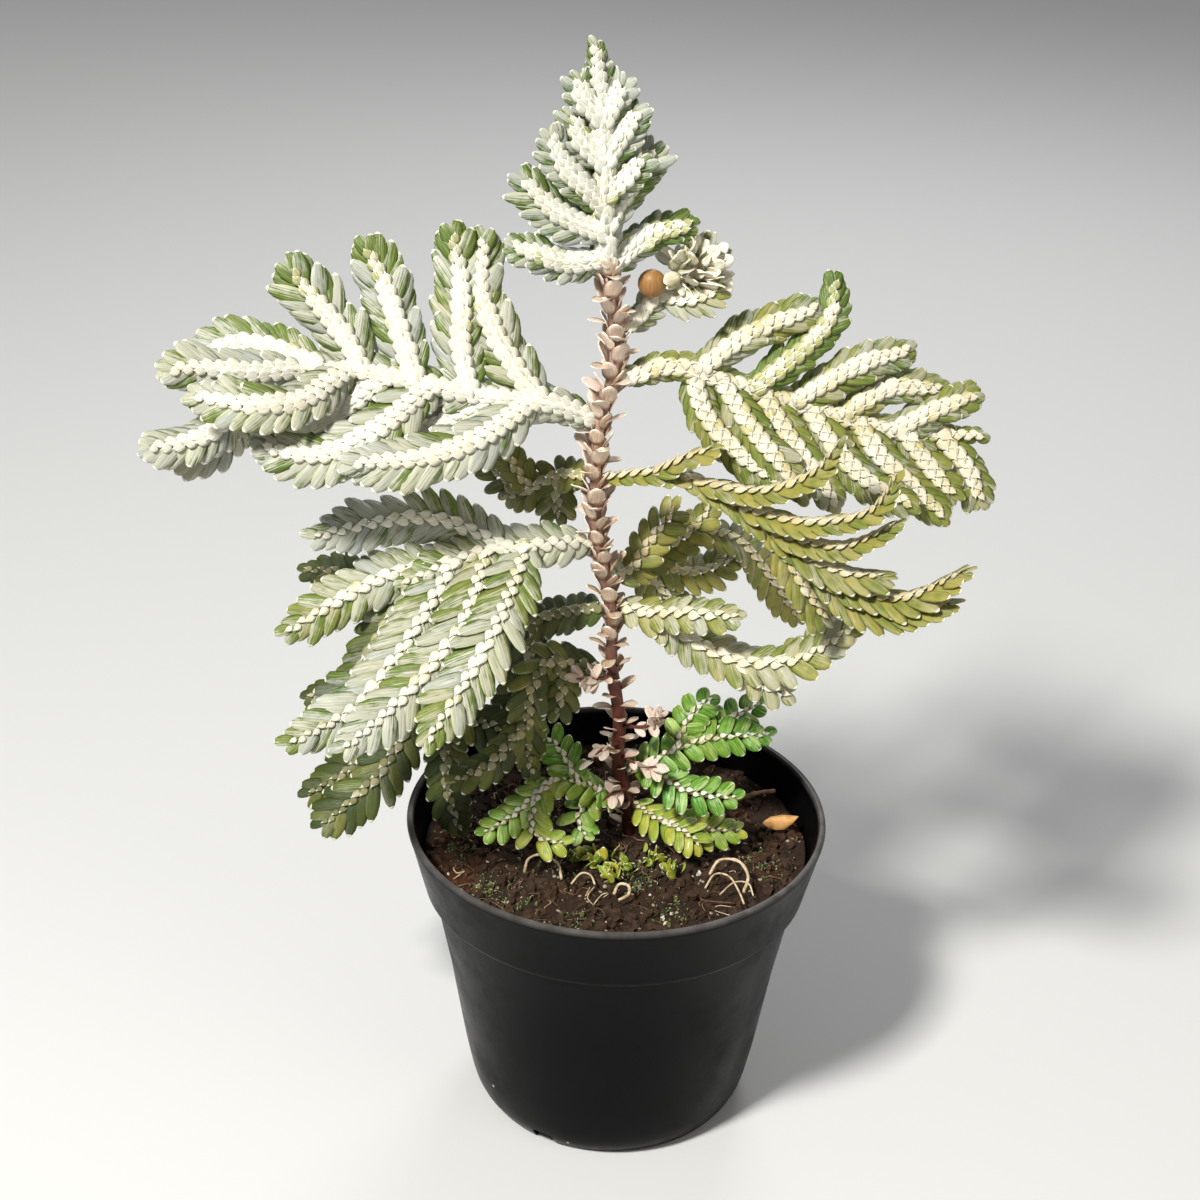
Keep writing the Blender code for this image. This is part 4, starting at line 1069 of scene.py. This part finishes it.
def add_stem_leaf(height, turn, close):
    """One leaf of the stem: close is 1 for one that lies on it, 0 for one that stands out."""
    random = stem.random
    base = np.array(stem_point_near(height))
    outward = np.array((math.cos(turn), math.sin(turn), 0.0))
    upward = np.array((0, 0, 1.0))
    rise = close * 2.4 + (1.0 - close) * (0.10 + 0.9 * random.random())
    along = outward + upward * rise
    facing = upward - outward * rise + 0.20 * random.normal(size=3)
    share = (height - LOWEST_STEM_LEAF) / (HIGHEST_STEM_LEAF - LOWEST_STEM_LEAF)
    # Painted sheen grows up the stem and painted shade grows down it, through red and alpha.
    silver_sheen = 0.35 + 0.55 * share + 0.14 * random.normal()
    warm = 0.62 - 0.25 * share
    mark = np.clip((silver_sheen, warm, random.random(), 0.30 - 0.35 * share), 0, 1)
    size = (3.4 + 1.1 * min(1.0, share * 1.6)) * (0.85 + 0.3 * random.random()) * MM
    root = base + outward * (1.0 - 0.1 * close) * MM
    stem.add(stem_leaf, 0, root, along, facing, size, size * (0.66 + 0.12 * close), mark)


height, turn = LOWEST_STEM_LEAF, 0.4
while height < HIGHEST_STEM_LEAF:
    add_stem_leaf(height, turn, close=0.0)
    height += HIGH_STEP if height > SLEEVE_START else LOW_STEP
    turn += GOLDEN_TURN
height, turn = SLEEVE_START, 1.9
while height < HIGHEST_STEM_LEAF:
    add_stem_leaf(height, turn, close=1.0)
    height += LOW_STEP
    turn += GOLDEN_TURN


def add_twig(route, radius, leaves):
    """A short side twig of the stem with a few pale leaves, in millimetres."""
    line = curve_through(route, 8)
    stem.add_tube(1, line, np.linspace(radius, 0.4 * radius, len(line)) * MM)
    for _ in range(leaves):
        at = stem.random.integers(2, len(line) - 1)
        along = np.array(line[at + 1] - line[at - 1])
        along = along / np.linalg.norm(along) + 0.55 * stem.random.normal(size=3)
        facing = np.array((0, -0.5, 0.8)) + 0.4 * stem.random.normal(size=3)
        size = (2.4 + 1.6 * stem.random.random()) * MM
        # Red is each leaf's painted silver sheen.
        mark = (0.55 + 0.4 * stem.random.random(), 0.3, stem.random.random(), 0.0)
        stem.add(stem_leaf, 0, np.array(line[at]), along, facing, size, size * 0.6, mark)


for route, radius, leaves in STEM_TWIGS:
    add_twig(route, radius, leaves)
stem_piece = stem.make("main_stem_leafy", (stem_leaf_finish, stem_finish))
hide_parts("main_stem")
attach(stem_piece, "root")
print("stem faces", len(stem_piece.data.polygons))

# %% [markdown]
# The pot is thin black plastic, moulded and slightly glossy. It is turned on the spot from
# its section with Spin: collar, stepped wall, foot skirt and recessed floor. The section
# matches the solid's, with its corners rounded, and many more sides keep it smooth.

# %% Model the pot
# Radius and height in millimetres, from the middle of the floor round to its middle again
POT_SECTION = [
    (0.0, 4.0), (27.6, 4.0), (27.2, 3.2), (26.4, 0.15), (26.6, 0.0), (28.0, 0.0), (28.4, 0.3),
    (29.8, 2.4), (30.6, 4.2), (31.3, 6.8), (32.7, 14.0), (36.0, 35.0), (39.55, 53.4),
    (39.75, 53.95), (40.3, 54.3), (41.1, 54.45), (41.4, 54.8), (41.55, 55.4), (44.6, 67.9),
    (44.85, 68.5), (45.0, 69.2), (44.85, 69.75), (44.4, 70.0), (43.8, 69.95), (43.5, 69.5),
    (43.35, 68.0), (40.3, 55.2), (38.6, 53.6), (34.9, 35.0), (31.6, 14.0), (30.1, 7.0),
    (29.6, 5.9), (28.8, 5.4), (0.0, 5.4),
]
POT_STEPS = 120
FOOT_RADIUS = 28.2 * MM
NOTCH_SIZE = (7.0 * MM, 5.0 * MM, 6.8 * MM)
NOTCH_ROUNDING = 1.1 * MM
NOTCH_ANGLES = (242, 62)
DRAIN_RADIUS, DRAIN_DEPTH = 2.6 * MM, 4 * MM
DRAIN_RING, DRAIN_HEIGHT = 15.0 * MM, 4.7 * MM
DRAIN_COUNT = 6
SMOOTH_ANGLE = math.radians(38)
WELD = 0.01 * MM


def turned_by_hand(name, section, steps):
    """A section in millimetres, radius and height, spun a full turn about the Z axis."""
    deselect()
    mesh = bpy.data.meshes.new(name)
    points = [(radius * MM, 0.0, height * MM) for radius, height in section]
    mesh.from_pydata(points, [(i, i + 1) for i in range(len(points) - 1)], [])
    made = bpy.data.objects.new(name, mesh)
    bpy.context.scene.collection.objects.link(made)
    made.select_set(True)
    bpy.context.view_layer.objects.active = made
    bpy.ops.object.mode_set(mode="EDIT")
    bpy.ops.mesh.select_all(action="SELECT")
    bpy.ops.mesh.spin(steps=steps, angle=math.tau, center=(0, 0, 0), axis=(0, 0, 1))
    bpy.ops.mesh.select_all(action="SELECT")
    bpy.ops.mesh.remove_doubles(threshold=WELD)
    bpy.ops.mesh.normals_make_consistent(inside=False)
    bpy.ops.object.mode_set(mode="OBJECT")
    return made


def on_ring(radius, turn, height):
    """The point at this height on a ring about the Z axis."""
    return radius * math.cos(turn), radius * math.sin(turn), height


def cut(obj, cutters):
    """Cuts several helpers from an object, then removes them."""
    for cutter in cutters:
        step = obj.modifiers.new("cut", "BOOLEAN")
        step.operation = "DIFFERENCE"
        step.object = cutter
        bpy.context.view_layer.objects.active = obj
        bpy.ops.object.modifier_apply(modifier=step.name)
        bpy.data.objects.remove(cutter, do_unlink=True)


pot = turned_by_hand("pot_shell", POT_SECTION, POT_STEPS)
cutters = []
for angle in NOTCH_ANGLES:
    turn = math.radians(angle)
    deselect()
    bpy.ops.mesh.primitive_cube_add(
        size=1.0, location=on_ring(FOOT_RADIUS, turn, 0.0), rotation=(0, 0, turn)
    )
    notch = bpy.context.active_object
    notch.dimensions = NOTCH_SIZE
    bpy.ops.object.transform_apply(location=False, rotation=False, scale=True)
    rounding = notch.modifiers.new("rounding", "BEVEL")
    rounding.width = NOTCH_ROUNDING
    rounding.segments = 4
    bpy.ops.object.modifier_apply(modifier=rounding.name)
    cutters.append(notch)
for k in range(DRAIN_COUNT):
    place = on_ring(DRAIN_RING, math.tau * k / DRAIN_COUNT, DRAIN_HEIGHT)
    bpy.ops.mesh.primitive_cylinder_add(
        vertices=24, radius=DRAIN_RADIUS, depth=DRAIN_DEPTH, location=place
    )
    cutters.append(bpy.context.active_object)
cut(pot, cutters)
deselect()
pot.select_set(True)
bpy.context.view_layer.objects.active = pot
bpy.ops.object.shade_smooth_by_angle(angle=SMOOTH_ANGLE)
pot.data.transform(Matrix.Translation((POT_PLACE, 0, 0)))
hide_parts("pot")
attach(pot, "root")
print("pot faces", len(pot.data.polygons))

# %% [markdown]
# Fine dust and lime specks cling to the pot, most of all low down on its left, and a grey
# painted highlight, broken up by noise, runs along the top of the rim. The group below gives
# a dust mask, which the litter uses too, and a mask of specks. The specks are thickest at
# the height Low and gone at the height High.

# %% Group for dust, and the pot's plastic
SPECK_SIDE = 0.03
SPECK_SHARE, FEWEST_SPECKS = 0.45, 0.006
# Heights where the painted rim highlight starts and where the rim's top is
RIM_HIGHLIGHT_START, RIM_TOP = 68.8 * MM, 70.0 * MM

dust_group, inside, outside = new_group(
    "dust", (("Amount", 0.5), ("Low", 0.0), ("High", 0.07)), ("Dust", "Specks")
)
place, x, _, height = own_place(dust_group)
lowness = range_in(dust_group, height, inside["High"], inside["Low"])
leftness = range_in(dust_group, x, SPECK_SIDE, -SPECK_SIDE)
grains = node_in(dust_group, "TexVoronoi", Vector=place, Scale=420.0)
near = math_in("LESS_THAN", grains["Distance"], 0.16)
own, _, _ = node_in(dust_group, "SeparateColor", Color=grains["Color"])
chance = math_in("ADD", times(times(lowness, leftness), SPECK_SHARE), FEWEST_SPECKS)
film = slope(own_noise(dust_group, 55.0, 6.0, 0.7), 0.42, inside["Amount"], clamp=True)
feed(film, outside["Dust"])
feed(times(near, math_in("LESS_THAN", own, chance)), outside["Specks"])

pot_finish, tree, shader = new_material("pot_plastic", specular=0.07)
dust = node_in(tree, "Group", node_tree=dust_group, Amount=0.9, Low=0.0, High=0.016)
_, _, _, height = own_place(tree)
# Painted highlight: a grey band along the top of the rim, broken up by noise, mixed in below.
rim_highlight = times(range_in(tree, height, RIM_HIGHLIGHT_START, RIM_TOP), own_noise(tree, 240.0, 4.0))
plastic = mix_in(
    dust["Dust"], (0.0022, 0.0022, 0.0028), (0.0075, 0.0066, 0.0060), label="dust film"
)
plastic = mix_in(rim_highlight, plastic, (0.16, 0.15, 0.14), label="painted rim highlight")
plastic = mix_in(dust["Specks"], plastic, (0.62, 0.58, 0.50), label="lime specks")
feed(plastic, shader.inputs["Base Color"])
dullness = math_in("ADD", times(dust["Dust"], 0.9), times(dust["Specks"], 0.5))
feed(math_in("ADD", dullness, 0.30, clamp=True), shader.inputs["Roughness"])
bump_in(shader, own_noise(tree, 900.0, 2.0), 0.12, 0.1 * MM)
pot.data.materials.clear()
pot.data.materials.append(pot_finish)
print("pot material", pot_finish.name)

# %% [markdown]
# Potting compost is dark brown peat with fibres, pale grit and white perlite, and moss
# grows on it in patches. The ground is a fine grid pushed up and down by noise, and the
# crumbs, fibres and moss leaves on it are modelled once and copied many times.

# %% Model the ground of the soil
SOIL_LEVEL = 61.6 * MM
SOIL_RELIEF = 1.5 * MM
SOIL_EDGE = 41.0 * MM
SOIL_RADIUS = 41.1
SOIL_RINGS, SOIL_STEPS = 84, 220
# Radius and height in millimetres, from the middle of the bottom up to the top edge
SOIL_SIDE = [
    (0.0, 5.75), (28.5, 5.75), (29.6, 7.3), (31.1, 14.0), (34.4, 35.0), (38.0, 53.9),
    (39.5, 55.5),
]


def soil_height(x, y):
    """The solid's lumpy top, with finer crumbs added; measured from the pot's middle."""
    place = Vector((x, y, 0.0)) / MM
    lumps = noise.noise(place * 0.13) * 0.6 + noise.noise(place * 0.35) * 0.4
    crumbs = noise.noise(place * 0.9) * 0.22 + abs(noise.noise(place * 2.1)) * 0.20
    edge = math.hypot(x, y) / SOIL_EDGE
    return SOIL_LEVEL + SOIL_RELIEF * (lumps + crumbs + 0.7 * (1.0 - edge * edge))


section = [(SOIL_RADIUS * (1.0 - k / SOIL_RINGS), SOIL_LEVEL / MM) for k in range(SOIL_RINGS + 1)]
ground = turned_by_hand("soil_ground", SOIL_SIDE + section, SOIL_STEPS)
for vert in ground.data.vertices:
    if vert.co.z > SOIL_LEVEL - WELD:
        vert.co.z = soil_height(vert.co.x, vert.co.y)
ground.data.polygons.foreach_set("use_smooth", [True] * len(ground.data.polygons))
ground.data.transform(Matrix.Translation((POT_PLACE, 0, 0)))
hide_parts("soil")
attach(ground, "root")
print("ground faces", len(ground.data.polygons))

# %% [markdown]
# The soil's colour comes from three textures: rusty patches, brown crumbs and pale grit.
# The ground and the loose crumbs share one recipe, with the crumbs a little paler.

# %% Material of the soil
def soil_material(name, dark, light, grit_share):
    """Peat between two browns, with patches of rust and grains of grit."""
    made, tree, shader = new_material(name, roughness=0.92, specular=0.25)
    patch = own_noise(tree, 60.0, 3.0)
    crumb = own_noise(tree, 700.0, 6.0, 0.7)
    place = node_in(tree, "TexCoord")["Object"]
    grit = node_in(tree, "TexVoronoi", Vector=place, Scale=900.0)
    _, own, _ = node_in(tree, "SeparateColor", Color=grit["Color"])
    colour = mix_in(crumb, dark, light, label="crumbs")
    rust = times(slope(patch, 0.52, 4.0, clamp=True), crumb)
    colour = mix_in(rust, colour, (0.120, 0.036, 0.010), label="rust patches")
    near = math_in("LESS_THAN", grit["Distance"], 0.35)
    pale = times(math_in("LESS_THAN", own, grit_share), near)
    colour = mix_in(pale, colour, (0.36, 0.30, 0.22), label="grit")
    feed(colour, shader.inputs["Base Color"])
    bump_in(shader, crumb, 0.9, 0.4 * MM)
    return made


soil_finish = soil_material("soil", (0.006, 0.0035, 0.002), (0.048, 0.026, 0.014), 0.10)
crumb_finish = soil_material("soil_crumbs", (0.010, 0.006, 0.0035), (0.088, 0.050, 0.028), 0.06)
ground.data.materials.clear()
ground.data.materials.append(soil_finish)
print("soil materials:", soil_finish.name, crumb_finish.name)

# %% [markdown]
# A crumb is a ball of few faces, dented with a little noise. Three such shapes are
# enough: turned and sized at random they never look alike.

# %% Scatter crumbs and perlite
CRUMB_SEEDS = (1.7, 5.1, 9.3)
CRUMB_DENTS = 0.75
CRUMB_FLATNESS = 0.8
SCATTER_RADIUS = 40.2 * MM
HOLE_RADIUS = 2.4 * MM


def model_crumb(seed):
    """A flattened ball with dents."""
    deselect()
    bpy.ops.mesh.primitive_ico_sphere_add(subdivisions=2, radius=0.5)
    crumb = bpy.context.active_object
    crumb.name = "crumb"
    for vert in crumb.data.vertices:
        dent = noise.noise(vert.co * 2.6 + Vector((seed, 0, 0)))
        vert.co *= 1.0 + CRUMB_DENTS * dent
        vert.co.z *= CRUMB_FLATNESS
    return taken_shape(crumb, lambda face: False)


def soil_place():
    """A random place on the soil, off the stem, with its height."""
    while True:
        radius = SCATTER_RADIUS * math.sqrt(random.random())
        turn = math.tau * random.random()
        x, y = radius * math.cos(turn), radius * math.sin(turn)
        if math.hypot(x - stem_line[0].x, y - stem_line[0].y) > HOLE_RADIUS:
            return np.array((x, y, soil_height(x, y)))


def scatter(gather, count, smallest, largest):
    """Adds this many crumbs, most of them near the smallest size."""
    for _ in range(count):
        size = smallest + (largest - smallest) * random.random() ** 3
        root = soil_place() + np.array((0, 0, 0.12 * size))
        along = random.normal(size=3)
        up = np.cross(along, random.normal(size=3))
        shape = crumb_shapes[int(random.integers(3))]
        width = size * (0.7 + 0.5 * random.random())
        gather.add(shape, 0, root, along, up, size, width, PLAIN_MARK)


crumb_shapes = [model_crumb(seed) for seed in CRUMB_SEEDS]
random = np.random.default_rng(21)
crumbs = Foliage(22)
perlite = Foliage(23)
scatter(crumbs, 2100, 0.4 * MM, 3.0 * MM)
scatter(perlite, 110, 0.35 * MM, 1.3 * MM)
perlite_finish, tree, shader = new_material("perlite", roughness=0.8)
pits = own_noise(tree, 1500.0, 4.0)
stain = mix_in(pits, (0.86, 0.83, 0.76), (0.46, 0.37, 0.27), label="stains")
feed(stain, shader.inputs["Base Color"])
for gather, name, finish in (
    (crumbs, "soil_crumbs", crumb_finish), (perlite, "soil_perlite", perlite_finish),
):
    piece = gather.make(name, (finish,))
    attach(piece, "root")
    print(piece.name, "faces", len(piece.data.polygons))

# %% [markdown]
# Moss stands in patches round the plant's foot and near the wall. Each patch is a crowd of
# the stem's spoon-shaped leaf, tiny and more or less upright.

# %% Moss
# For each patch its place and radius in millimetres, and its number of leaves
MOSS_PATCHES = (
    (-26, -19, 7, 130), (-20, -24, 4, 60), (-2, -12, 8, 200), (6, -15, 5, 90), (-12, -8, 6, 110),
    (32, -8, 6, 90), (36, 8, 4, 50), (-33, -6, 5, 70), (12, -26, 5, 60), (-8, -30, 5, 50),
    (20, 14, 7, 80), (-18, 18, 8, 90), (4, 28, 7, 70),
)
MOSS_LIMIT = 39.8 * MM
MOSS_DEPTH = 0.2 * MM

moss = Foliage(31)
for x, y, radius, count in MOSS_PATCHES:
    for _ in range(count):
        offset = random.normal(size=2) * radius * 0.5 * MM
        px, py = x * MM + offset[0], y * MM + offset[1]
        if math.hypot(px, py) > MOSS_LIMIT:
            continue
        root = np.array((px, py, soil_height(px, py) - MOSS_DEPTH))
        lean = random.normal(size=3) * 0.55
        lean[2] = 0.8 + 0.4 * random.random()
        size = (0.6 + 1.0 * random.random() ** 2) * MM
        # The alpha darkens each moss leaf by a random amount, through the painted shade of its
        # material.
        mark = (0.05, 0.7 * random.random(), random.random(), 0.25 + 0.5 * random.random())
        moss.add(stem_leaf, 0, root, lean, random.normal(size=3), size, size * 0.62, mark)
moss_piece = moss.make("moss", (side_leaf_finish,))
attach(moss_piece, "root")
print("moss faces", len(moss_piece.data.polygons))

# %% [markdown]
# Peat is full of thin fibres and dead rootlets. Each is a short bent tube that starts and
# ends on the soil and arches a little between. A few pale curls stand higher among them,
# and sprouts of a few leaves come up near the stem.

# %% Fibres, curls and sprouts
FIBRES = 150
FIBRE_BENDS = 4
FIBRE_STEP = 1.6 * MM
FIBRE_LIMIT = 39.5 * MM
FIBRE_PARTS = 12
PALE_FIBRES = 0.14
# Routes of the curls in millimetres, each with its radius
CURLS = (
    ([(19, -20, 64.6), (21, -17, 66.2), (24, -18, 66.4), (26, -22, 65.4), (27, -25, 64.4)], 0.22),
    ([(22, -22, 64.5), (25, -19, 65.6), (28, -19, 65.5), (29, -22, 64.5)], 0.18),
    ([(0, -23, 64.4), (1, -21, 65.6), (3, -22, 66), (3, -24, 65.2), (1, -25, 64.4)], 0.34),
    ([(-9, -20, 64.6), (-7, -18, 66), (-5, -18, 65.6), (-4, -20, 64.6)], 0.22),
)
SPROUTS = ((-4, -11), (2, -13), (-9, -10), (8, -9), (-1, -16), (12, -13))
SPROUT_LEAVES = 15
SPROUT_SPREAD = 1.1

fibres = Foliage(33)
for _ in range(FIBRES):
    line = [Vector(soil_place())]
    for bend in range(FIBRE_BENDS):
        x = line[-1].x + FIBRE_STEP * random.normal()
        y = line[-1].y + FIBRE_STEP * random.normal()
        inward = min(1.0, FIBRE_LIMIT / math.hypot(x, y))
        x, y = x * inward, y * inward
        lift = (0.2 + 1.1 * random.random()) * MM if bend < FIBRE_BENDS - 1 else 0.0
        line.append(Vector((x, y, soil_height(x, y) + lift)))
    route = [tuple(point / MM) for point in line]
    radii = np.full(FIBRE_PARTS + 1, (0.06 + 0.10 * random.random()) * MM)
    kind = 1 if random.random() < PALE_FIBRES else 0
    fibres.add_tube(kind, curve_through(route, FIBRE_PARTS), radii, sides=5)

for route, radius in CURLS:
    curl = curve_through(route, 16)
    fibres.add_tube(1, curl, np.full(len(curl), radius * MM))

sprouts = Foliage(34)
for x, y in SPROUTS:
    foot = np.array((x * MM, y * MM, soil_height(x * MM, y * MM)))
    for _ in range(SPROUT_LEAVES):
        away = np.array((random.normal(), random.normal(), 0.5 + random.random()))
        spread = np.array((random.normal(), random.normal(), 1.0 + random.random()))
        root = foot + spread * SPROUT_SPREAD * MM
        size = (1.8 + 1.6 * random.random()) * MM
        mark = (0.10, 0.3 + 0.7 * random.random(), random.random(), 0.0)
        sprouts.add(stem_leaf, 0, root, away, random.normal(size=3), size, size * 0.6, mark)
print("fibres", FIBRES, "curls", len(CURLS), "sprouts", len(SPROUTS))

# %% [markdown]
# Dead roots curl on the soil, with a dry leaf and a twig. They keep the routes of their
# solids, with a rougher outline and a fibrous skin. The fibres share this skin, so their
# piece is made here too, with that of the sprouts.

# %% Litter
# For each piece its solid, its route in millimetres and its radius
LITTER = (
    ("dry_root_right", [
        (20, -15, 64.6), (22, -13, 67), (26, -14, 67.6), (28, -17, 66), (27, -21, 64.6),
    ], 0.34),
    ("dry_root_left", [
        (-19, -17, 65), (-18, -16, 68), (-15, -16, 69), (-12, -17, 67.5), (-11, -19, 65),
    ], 0.30),
    ("twig_on_soil", [(24, 12, 64.6), (30, 14, 66.6), (35, 15, 67)], 0.42),
)
DRY_LEAF_ROOT = (31.8, 3.9, 65.0)
DRY_LEAF_WAY, DRY_LEAF_UP = (0.95, 0.25, 0.06), (0, -0.5, 0.85)
DRY_LEAF_LENGTH, DRY_LEAF_WIDTH = 8.0 * MM, 3.6 * MM


def litter_material(name, dark, light, scale):
    """A mottled skin between two colours, paler in places, with some soil dust."""
    made, tree, shader = new_material(name, roughness=0.7)
    skin = own_noise(tree, scale, 5.0)
    ramp = tree.nodes.new("ShaderNodeValToRGB")
    ramp.color_ramp.elements.new(0.5)
    palest = tuple(min(1.0, value * 1.25) for value in light)
    stops = ((0.30, dark), (0.62, light), (0.85, palest))
    for element, (position, colour) in zip(ramp.color_ramp.elements, stops):
        element.position = position
        element.color = (*colour, 1.0)
    feed(skin, ramp.inputs["Fac"])
    dust = node_in(tree, "Group", node_tree=dust_group, Amount=0.6, Low=0.0, High=0.2)
    soiled = mix_in(dust["Dust"], ramp.outputs["Color"], (0.20, 0.14, 0.09), label="soil dust")
    feed(soiled, shader.inputs["Base Color"])
    bump_in(shader, skin, 0.5, 0.2 * MM)
    return made


dry_root_finish = litter_material("dry_root", (0.34, 0.22, 0.11), (0.74, 0.60, 0.40), 900.0)
twig_finish = litter_material("twig", (0.10, 0.05, 0.025), (0.36, 0.22, 0.12), 1100.0)
dry_leaf_finish = litter_material("dry_leaf", (0.42, 0.17, 0.035), (0.74, 0.40, 0.13), 500.0)
fibre_finish = litter_material("soil_fibre", (0.050, 0.024, 0.012), (0.200, 0.110, 0.060), 700.0)

for name, route, radius in LITTER:
    tube = Foliage(41)
    line = curve_through(route, 26)
    radii = radius * MM * (1.0 + 0.14 * tube.random.normal(size=len(line)))
    tube.add_tube(0, line, radii, sides=9)
    finish = twig_finish if name.startswith("twig") else dry_root_finish
    piece = tube.make(name + "_fine", (finish,))
    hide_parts(name)
    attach(piece, "root")
leaf = Foliage(42)
root = np.array(DRY_LEAF_ROOT) * MM
way, up = np.array(DRY_LEAF_WAY), np.array(DRY_LEAF_UP)
leaf.add(litter_leaf, 0, root, way, up, DRY_LEAF_LENGTH, DRY_LEAF_WIDTH, (0, 0, 0, 0))
leaf_piece = leaf.make("dry_leaf_fine", (dry_leaf_finish,))
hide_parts("dry_leaf")
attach(leaf_piece, "root")
print("litter pieces", len(LITTER) + 1)
sprout_piece = sprouts.make("green_sprouts", (fresh_leaf_finish,))
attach(sprout_piece, "root")
fibre_piece = fibres.make("soil_fibres", (fibre_finish, dry_root_finish))
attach(fibre_piece, "root")
print("fibre faces", len(fibre_piece.data.polygons))
